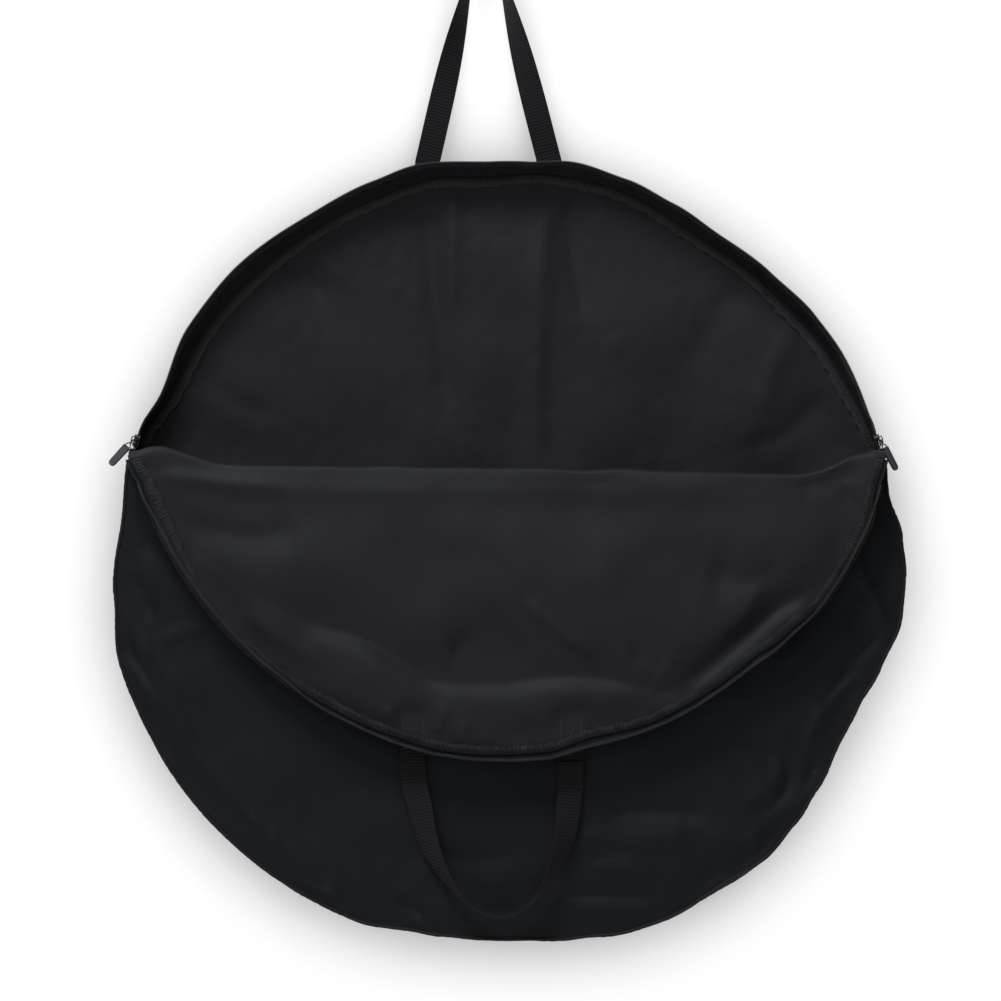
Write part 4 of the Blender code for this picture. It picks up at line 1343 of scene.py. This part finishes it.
class WHEELBAG_OT_zip(bpy.types.Operator):
    """Two woven tapes, each with its nylon coil, and the sewn rows that hold them"""

    bl_idname = "wheelbag.zip"
    bl_label = "Zip"

    def execute(self, context):
        self.half(REAR_HALF, rim_angle(TAPE_TUCK), rim_angle(COIL_STOP))
        self.half(FLAP_HALF, 0.0, 0.0)
        return {"FINISHED"}

    def half(self, half, tuck, stop):
        """A tape whose ends are tucked in, a coil that ends at the stops, and the rows that hold them."""
        size = sizes()
        start, end = half.end, 180 - half.end
        depths = np.sort(half.from_coil(0.5 * MM, *np.linspace(2 * MM, size.tape_width + 1.6 * MM, 7)))
        angles = half.spread(depths, tuck)
        grid = half.place(half.line(angles, depths))
        uv = spread_map(rim_length(angles), depths[None])
        both = [finish("tape"), finish("tape")]
        tape = thick_sheet(half.name + "_tape", grid, size.tape_thickness, uv, both)
        settle(tape, half.body, "zip_tape", "zip_tape_" + half.name)
        self.coil(half, start + stop, end - stop, size)
        self.rows(half, arc(start + 0.3, end - 0.3), size)

    def rows(self, half, angles, size):
        """Two sewn rows, beside the coil and along the strip's edge, seen from inside and outside."""
        tape, strip = size.tape_thickness / 2, STRIP_SEAT + size.cloth / 2
        sets = []
        for length, seats in zip(TAPE_ROWS, ((tape, tape), (tape, strip))):
            middle_line = half.line(angles, half.from_coil(length))[:, 0]
            for side, seat in zip((-1, 1), seats):
                up = outward(angles) * side
                sets.append(stitch_row(half.place(middle_line + up * seat), half.turned(up * size.thread)))
        sew(half.name + "_rows", half.body, sets)

    def coil(self, half, start, end, size):
        """A spring round the tape's edge: its middle line plus a turning arm, as a thin four-sided tube.

        Each turn crosses square on the side that shows at rest, and moves on at its back: the angle is the
        turn less 0.85 times the sine of the turn counted from that side, times the pitch.
        """
        turns = int(math.radians(end - start) * COIL_ORBIT / size.coil_pitch)
        phase = np.arange(turns * 8 + 1) * math.pi / 4
        shown = math.pi / 2 if half.folded else -math.pi / 2
        moved = phase - 0.85 * (np.sin(phase - shown) + math.sin(shown))
        angles = start + (end - start) * np.clip(moved / phase[-1], 0, 1)
        centre = half.place(half.line(angles, [half.coil_y])[:, 0])
        away, depth = outward(angles), np.array((0.0, 1.0, 0.0))
        arm = half.turned(np.cos(phase)[:, None] * away + np.sin(phase)[:, None] * depth)
        path = centre + arm * (COIL_RADIUS - size.coil_wire)
        along = unit(np.gradient(path, axis=0))
        piece = swept(half.name + "_coil", path, arm, unit(np.cross(along, arm)),
                      ring_profile(size.coil_wire, 4), finish("coil"))
        settle(piece, half.body, "zip_coil", "zip_coil_" + half.name)


def tangent_points(base, centre, radius, side):
    """Where a straight line from base touches a circle, on its left (-1) or right (1) side, in X and Z."""
    away = np.subtract(base, centre)
    distance = np.hypot(*away)
    swing = side * math.acos(radius / distance)
    c, s = math.cos(swing), math.sin(swing)
    out = away / distance * radius
    return np.add(centre, (c * out[0] - s * out[1], s * out[0] + c * out[1]))


def twist_between(count):
    """A twist from 0 to 90 degrees that starts and ends gently, later than half way."""
    return 90.0 * smooth(np.linspace(0, 1, count) ** 1.25)


def rounded(value, power):
    """A cosine or sine drawn out towards its ends: its size to a power, with its sign."""
    return np.sign(value) * np.abs(value) ** power


def even_path(path, twists, step):
    """The same path and twists, read at even steps along it."""
    path = np.array(path, float)
    far = distances(path)
    at = np.linspace(0, far[-1], int(far[-1] / step) + 2)
    return read_line(path, far, at), np.interp(at, far, twists), at


def webbing_profile(size, far):
    """The webbing's section at each step: a flat loop with round selvages, thinner in its ribs' grooves."""
    turn = np.arange(26) * 2 * math.pi / 26
    c, s = np.cos(turn), np.sin(turn)
    wide = WEBBING_WIDTH / 2 * rounded(c, 0.45)
    thick = WEBBING_THICKNESS / 2 * rounded(s, 0.45)
    flat = smooth((1 - np.abs(wide) / (WEBBING_WIDTH / 2)) / 0.12)
    rib = np.abs(np.sin(math.pi * far / size.rib_pitch)) ** 0.7
    grow = 1 - (1 - rib[:, None]) * flat[None] * size.rib_depth / (WEBBING_THICKNESS / 2)
    return np.stack([np.broadcast_to(wide, grow.shape), thick * grow], axis=-1)


def webbing_strip(name, path, twists, y, stand=0.0):
    """Webbing along a path in X and Z: its face to the front at a twist of 0, and edge on at 90 degrees.

    Where it is edge on, its middle stands out to the front by stand.
    """
    size = sizes()
    path, twists, far = even_path(path, twists, 0.55 * MM)
    along = unit(np.gradient(path, axis=0))
    turn = np.radians(twists)[:, None]
    ahead = np.stack([along[:, 0], 0 * far, along[:, 1]], axis=1)
    flat = np.stack([along[:, 1], 0 * far, -along[:, 0]], axis=1)
    across = flat * np.cos(turn) + np.array((0.0, 1.0, 0.0)) * np.sin(turn)
    facing = np.cross(ahead, across)
    centre = np.stack([path[:, 0], y - stand * np.sin(turn[:, 0]), path[:, 1]], axis=1)
    return swept(name, centre, across, facing, webbing_profile(size, far), finish("webbing"))


def rear_path():
    """From one sewn end, up to the hook, over it and down to the other sewn end."""
    radius = HOOK_RADIUS + WEBBING_THICKNESS / 2
    centre = (HOOK_X, HOOK_TOP - radius - WEBBING_THICKNESS / 2)
    left = tangent_points((REAR_LEGS[0], BAG_RADIUS), centre, radius, -1)
    right = tangent_points((REAR_LEGS[1], BAG_RADIUS), centre, radius, 1)
    low = BAG_RADIUS - HANDLE_LAP
    up = np.linspace((REAR_LEGS[0], BAG_RADIUS), left, 40)
    down = np.linspace(right, (REAR_LEGS[1], BAG_RADIUS), 40)
    start, end = (math.atan2(p[1] - centre[1], p[0] - centre[0]) for p in (left, right))
    turn = np.linspace(start, end, 26)[1:-1]
    over = np.stack([centre[0] + radius * np.cos(turn), centre[1] + radius * np.sin(turn)], axis=1)
    path = np.concatenate([[(REAR_LEGS[0], low)], up, over, down, [(REAR_LEGS[1], low)]])
    twist = twist_between(40)
    return path, np.concatenate([[0], twist, np.full(len(over), 90.0), twist[::-1], [0]])


def front_path():
    """The front loop as it hangs from the folded flap, about its hinge line at z = 0."""
    points = np.array(FRONT_LOOP) * MM
    points[:, 1] *= (FRONT_DROP - WEBBING_THICKNESS / 2) / -points[:, 1].min()
    points = np.concatenate([[(FRONT_LEGS[0], 0.0)], points, [(FRONT_LEGS[1], 0.0)]])
    far = distances(points)
    at = np.linspace(0, far[-1], 240)
    path = np.stack([spline(at, far, points[:, k]) for k in range(2)], axis=1)
    lowest = far[1 + np.argmin(points[1:-1, 1])]
    share = np.where(at < lowest, at / lowest, (far[-1] - at) / (far[-1] - lowest))
    turn = 90.0 * smooth((share - 0.03) / 0.97) ** 0.9
    return path, turn


def box_stitches(leg, low, high, depth_at, front):
    """Stitches round a box with both its diagonals, on a surface given by its depth at X and Z."""
    half = WEBBING_WIDTH / 2 - 2.4 * MM
    left, right = leg - half, leg + half
    lines = (((left, low), (right, low)), ((right, low), (right, high)), ((right, high), (left, high)),
             ((left, high), (left, low)), ((left, low), (right, high)), ((right, low), (left, high)))
    sets = []
    for start, end in lines:
        line = np.linspace(start, end, 40)
        points = np.stack([line[:, 0], depth_at(line[:, 0], line[:, 1]), line[:, 1]], axis=1)
        sets.append(stitch_row(points, np.broadcast_to((0.0, front * sizes().thread, 0.0), points.shape)))
    return sets


class WHEELBAG_OT_handles(bpy.types.Operator):
    """The two webbing handles with their ribs, sewn ends and doubled ends"""

    bl_idname = "wheelbag.handles"
    bl_label = "Handles"

    def execute(self, context):
        path, twists = rear_path()
        settle(webbing_strip("rear_handle_webbing", path, twists, STRAP_Y), "bag", "webbing", "rear_handle")
        path, twists = front_path()
        half = WEBBING_THICKNESS / 2
        loop = webbing_strip("front_handle_webbing", path + (0.0, FRONT_SWING[2] - HINGE_GAP), twists,
                             FRONT_SWING[1] + half, WEBBING_WIDTH / 2)
        settle(loop, "front_loop", "webbing", "front_handle")
        for side, leg in zip(("left", "right"), FRONT_LEGS):
            line = [(leg, FRONT_SWING[2] + HINGE_GAP), (leg, FRONT_SWING[2] + HANDLE_LAP)]
            end = webbing_strip("front_end_" + side, line, [0, 0], STRAP_Y_FRONT)
            settle(end, "flap", "webbing", "front_handle_end_" + side)
        self.doubled_ends(path, twists, half)
        self.stitching()
        return {"FINISHED"}

    def doubled_ends(self, front, twists, half):
        """The short turned-back layers on the right legs of both handles."""
        below, above = REAR_DOUBLING
        rear, _ = rear_path()
        over_rim = rear[:, 1] - BAG_RADIUS
        leg = rear[(rear[:, 0] > 0) & (over_rim > -1 * MM) & (over_rim < above)]
        turned = np.concatenate([[(REAR_LEGS[1], BAG_RADIUS + below)], leg[::-1]])
        piece = webbing_strip("rear_handle_doubling", turned, np.zeros(len(turned)),
                              STRAP_Y - WEBBING_THICKNESS - HINGE_GAP)
        settle(piece, "bag", "webbing")
        far = distances(front[::-1])
        near = (far > FRONT_DOUBLING[0]) & (far < FRONT_DOUBLING[1])
        line = front[::-1][near] + (0.0, FRONT_SWING[2] - 3 * HINGE_GAP)
        piece = webbing_strip("front_handle_doubling", line, -twists[::-1][near],
                              FRONT_SWING[1] + half - WEBBING_THICKNESS - HINGE_GAP)
        settle(piece, "front_loop", "webbing")

    def stitching(self):
        """Boxes sewn through the handles' ends, on every layer that shows them."""
        size = sizes()
        above = WEBBING_THICKNESS / 2 + STITCH_SEAT * size.thread
        sets = []
        for leg in REAR_LEGS:
            sets += box_stitches(leg, BAG_RADIUS - HANDLE_LAP + 3 * MM, BAG_RADIUS - 12 * MM,
                                 lambda x, z: STRAP_Y + above + 0 * x, 1)
        ahead = STRAP_Y - above
        row = np.linspace((REAR_LEGS[0] - 10 * MM, ahead, BAG_RADIUS - 3 * MM),
                          (REAR_LEGS[0] + 10 * MM, ahead, BAG_RADIUS - 2.4 * MM), 10)
        sets.append(stitch_row(row, np.broadcast_to((0.0, -size.thread, 0.0), row.shape)))
        sew("rear_handle_stitches", "bag", sets)
        sets = []
        rim = 2 * FOLD[1] + SEAM_Y - size.cloth / 2
        low, high = FRONT_SWING[2] + 12 * MM, FRONT_SWING[2] + HANDLE_LAP - 3 * MM
        for leg in FRONT_LEGS:
            sets += box_stitches(leg, low, high, lambda x, z: STRAP_Y_FRONT + above + 0 * x, 1)
            sets += box_stitches(leg, low, high, lambda x, z: hung_flap(x, z, rim) - size.cloth / 2
                                 - STITCH_SEAT * size.thread, -1)
        sew("front_handle_stitches", "flap", sets)


def pull_place(side):
    """A pull's bar, the way from it to the grip, and the way that its upper face looks, in X and Z."""
    bar = joint_place("pull_" + side + "_swing")
    along = unit((middle("pull_grip_" + side) - MIDDLE - bar) * (1, 0, 1))
    face = np.array((-along[2], 0.0, along[0]))
    return bar, along, face * math.copysign(1, face[2])


def twisted(side, far, reach):
    """Points down the pull's middle, with across and facing, which turn its upper face to the front."""
    bar, along, face = pull_place(side)
    size = sizes()
    twist = size.left_twist if side == "left" else size.right_twist
    turn = (twist * smooth((far - 3 * MM) / (reach - 3 * MM)))[:, None]
    facing = face * np.cos(turn) + np.array((0.0, -1.0, 0.0)) * np.sin(turn)
    return bar + along * far[:, None], np.cross(facing, along), facing


def pull_wire(side, size):
    """A U of round wire: from the grip along one leg, over the bar in two round corners and back."""
    half, bend, end = size.wire_spread / 2, 1.5 * MM, size.wire_reach + 3 * MM
    leg = np.linspace(end, bend, 14)
    turn = np.linspace(0, math.pi / 2, 8)[1:]
    far = np.concatenate([leg, bend * (1 - np.sin(turn)), np.zeros(3)])
    wide = np.concatenate([np.full(14, half), half - bend * (1 - np.cos(turn)),
                           np.linspace(half - bend, 0, 5)[1:4]])
    far, wide = np.append(far, [0, *far[::-1]]), np.append(wide, [0, *-wide[::-1]])
    centre, across, facing = twisted(side, far, size.wire_reach)
    path = centre + across * wide[:, None]
    along = unit(np.gradient(path, axis=0))
    flat = unit(np.cross(facing, along))
    ring = ring_profile(size.wire_radius, 10)
    return swept("wire_" + side, path, flat, unit(np.cross(along, flat)), ring, finish("wire"))


def pull_grip(side, size):
    """A long tab with a round tip, thick at its rim and dished inside it, moulded round the wire's ends.

    Each section is a flattened ring: across is the half width times a rounded cosine, and up is the half
    thickness times a rounded sine, less the dish where the point is inside the rim.
    """
    length, tip = size.grip_length, size.grip_width * 0.44
    share = (1 - np.cos(np.linspace(0, math.pi, 49))) / 2
    far = share * length
    taper = size.grip_width / 2 * (1 - 0.12 * share)
    round_far = np.sqrt(np.clip(1 - np.clip((far - length + tip) / tip, 0, 1) ** 2, 0, 1))
    round_near = 0.45 + 0.55 * np.sqrt(np.clip(1 - np.clip(1 - far / (1.6 * MM), 0, 1) ** 2, 0, 1))
    half = np.maximum(taper * round_far * round_near, 0.25 * MM)
    ends = np.minimum(smooth(far / (1.0 * MM)) + 0.5, 1) * (0.35 + 0.65 * np.minimum(half / (1.8 * MM), 1))
    turn = np.arange(40) * 2 * math.pi / 40
    c, s = np.cos(turn), np.sin(turn)
    wide = half[:, None] * rounded(c, 0.75)
    from_rim = np.minimum(half[:, None] - np.abs(wide), np.minimum(far, length - far)[:, None])
    dish = size.grip_dish * smooth((from_rim - 1.0 * MM) / (0.9 * MM))
    bead = 0.2 * MM * np.exp(-((from_rim - 0.9 * MM) / (0.5 * MM)) ** 2)
    thick = size.grip_thickness / 2 * ends[:, None] * np.abs(s) ** 0.45 - dish + bead * np.abs(s)
    thick = thick * np.sign(s)
    centre, across, facing = twisted(side, far + size.wire_reach, size.wire_reach)
    return swept("grip_" + side, centre, across, facing, np.stack([wide, thick], axis=-1), finish("rubber"))


class WHEELBAG_OT_hardware(bpy.types.Operator):
    """Materials for the sliders and stops, and the two pulls, whose wires are twisted towards the front"""

    bl_idname = "wheelbag.hardware"
    bl_label = "Zip Hardware"

    def execute(self, context):
        for side in ("left", "right"):
            for node in ("slider_", "zip_stop_"):
                shown = frame["nodes"][node + side]
                shown.data.materials.clear()
                shown.data.materials.append(finish("metal"))
            settle(pull_wire(side, sizes()), side + "_pull", "pull_wire", "pull_wire_" + side)
            settle(pull_grip(side, sizes()), side + "_pull", "pull_rubber", "pull_grip_" + side)
        return {"FINISHED"}


# The view: where the camera looks from, how much it sees at VIEW_MIDDLE, and the studio round the bag
CAMERA_DISTANCE = 5.0
VIEW_WIDTH = 1.001
VIEW_MIDDLE = (0.0155, -0.090, -0.5769)
SENSOR = 36.0
WALL_Y = 0.024 - MIDDLE[1]
WALL_X, WALL_LOW, WALL_HIGH = 3, -1.2, 2.6
FLOOR_Z = -0.63
FLOOR_SIDE = 2
WORLD_LIGHT = 0.10
LIGHTS = (
    ("key", (-0.8, -1.8, 1.75), (0, 0, -0.6), 1.2, 0.9, 130, (0.90, 0.94, 1.0)),
    ("fill", (-0.3, -2.8, 0.3), (0, 0, -0.5), 1.8, 1.4, 20, (1.0, 1.0, 1.0)),
)


class WHEELBAG_OT_stage(bpy.types.Operator):
    """The pale wall and floor, the soft lights and the camera"""

    bl_idname = "wheelbag.stage"
    bl_label = "Stage"

    def execute(self, context):
        corners_of = ((-1, 0), (1, 0), (1, 1), (-1, 1))
        wall = [(x * WALL_X, WALL_Y, WALL_HIGH if z else WALL_LOW) for x, z in corners_of]
        self.plane("studio_wall", wall, glowing_wall("studio_white"))
        floor = [(x * FLOOR_SIDE, FLOOR_SIDE if y else -FLOOR_SIDE, FLOOR_Z) for x, y in corners_of]
        self.plane("studio_floor", floor, pale_floor("studio_floor_paint", (0.80, 0.80, 0.80)))
        for light in LIGHTS:
            self.light(*light)
        world = bpy.data.worlds.new("studio")
        world.use_nodes = True
        ground = world.node_tree.nodes["Background"]
        ground.inputs["Color"].default_value = (1.0, 1.0, 1.0, 1.0)
        ground.inputs["Strength"].default_value = WORLD_LIGHT
        context.scene.world = world
        lens = bpy.data.cameras.new("front_camera")
        lens.sensor_width = SENSOR
        lens.lens = SENSOR * CAMERA_DISTANCE / VIEW_WIDTH
        lens.clip_end = 50
        camera = bpy.data.objects.new("front_camera", lens)
        camera.location = (VIEW_MIDDLE[0], VIEW_MIDDLE[1] - CAMERA_DISTANCE, VIEW_MIDDLE[2])
        camera.rotation_euler = (math.pi / 2, 0, 0)
        context.scene.collection.objects.link(camera)
        context.scene.camera = camera
        context.scene.view_settings.view_transform = "Standard"
        return {"FINISHED"}

    def plane(self, name, points, paint):
        """A flat square of the studio, which isn't part of the bag."""
        block, uv = np.array([[0, 1, 2, 3]]), np.zeros((4, 2))
        put_mesh(name, np.array(points, float), [block], [uv], [paint], smooth_faces=False)

    def light(self, name, place, target, wide, high, power, tint):
        """A soft rectangle of light at a place, turned to its target."""
        lamp = bpy.data.lights.new(name, "AREA")
        lamp.shape = "RECTANGLE"
        lamp.size, lamp.size_y, lamp.energy, lamp.color = wide, high, power, tint
        made = bpy.data.objects.new(name, lamp)
        made.location = place
        made.rotation_euler = (Vector(target) - Vector(place)).to_track_quat("-Z", "Y").to_euler()
        bpy.context.scene.collection.objects.link(made)


class WHEELBAG_PT_pieces(bpy.types.Panel):
    """Lists the bag's sizes, colours and pieces in the 3D view's sidebar."""

    bl_idname = "WHEELBAG_PT_pieces"
    bl_label = "Round Wheel Bag"
    bl_space_type = "VIEW_3D"
    bl_region_type = "UI"
    bl_category = "Wheel Bag"

    def draw(self, context):
        for group in (context.scene.wheel_bag_sizes, context.scene.wheel_bag_colours):
            box = self.layout.box()
            for name in group.__annotations__:
                box.prop(group, name)
        for operator in OPERATORS:
            self.layout.operator(operator.bl_idname)


OPERATORS = (
    WHEELBAG_OT_stage,
    WHEELBAG_OT_back_cloth,
    WHEELBAG_OT_front_cloth,
    WHEELBAG_OT_walls,
    WHEELBAG_OT_seams,
    WHEELBAG_OT_zip,
    WHEELBAG_OT_handles,
    WHEELBAG_OT_hardware,
)
CLASSES = (BagSizes, BagColours, *OPERATORS, WHEELBAG_PT_pieces)


def register():
    """Registers the classes and puts the sizes and colours on the scene."""
    for item in CLASSES:
        bpy.utils.register_class(item)
    bpy.types.Scene.wheel_bag_sizes = bpy.props.PointerProperty(type=BagSizes)
    bpy.types.Scene.wheel_bag_colours = bpy.props.PointerProperty(type=BagColours)


def unregister():
    """Takes off again what register put on."""
    del bpy.types.Scene.wheel_bag_colours
    del bpy.types.Scene.wheel_bag_sizes
    for item in reversed(CLASSES):
        bpy.utils.unregister_class(item)


def main():
    register()
    for operator in OPERATORS:
        group, name = operator.bl_idname.split(".")
        getattr(getattr(bpy.ops, group), name)()


if __name__ == "__main__":
    main()
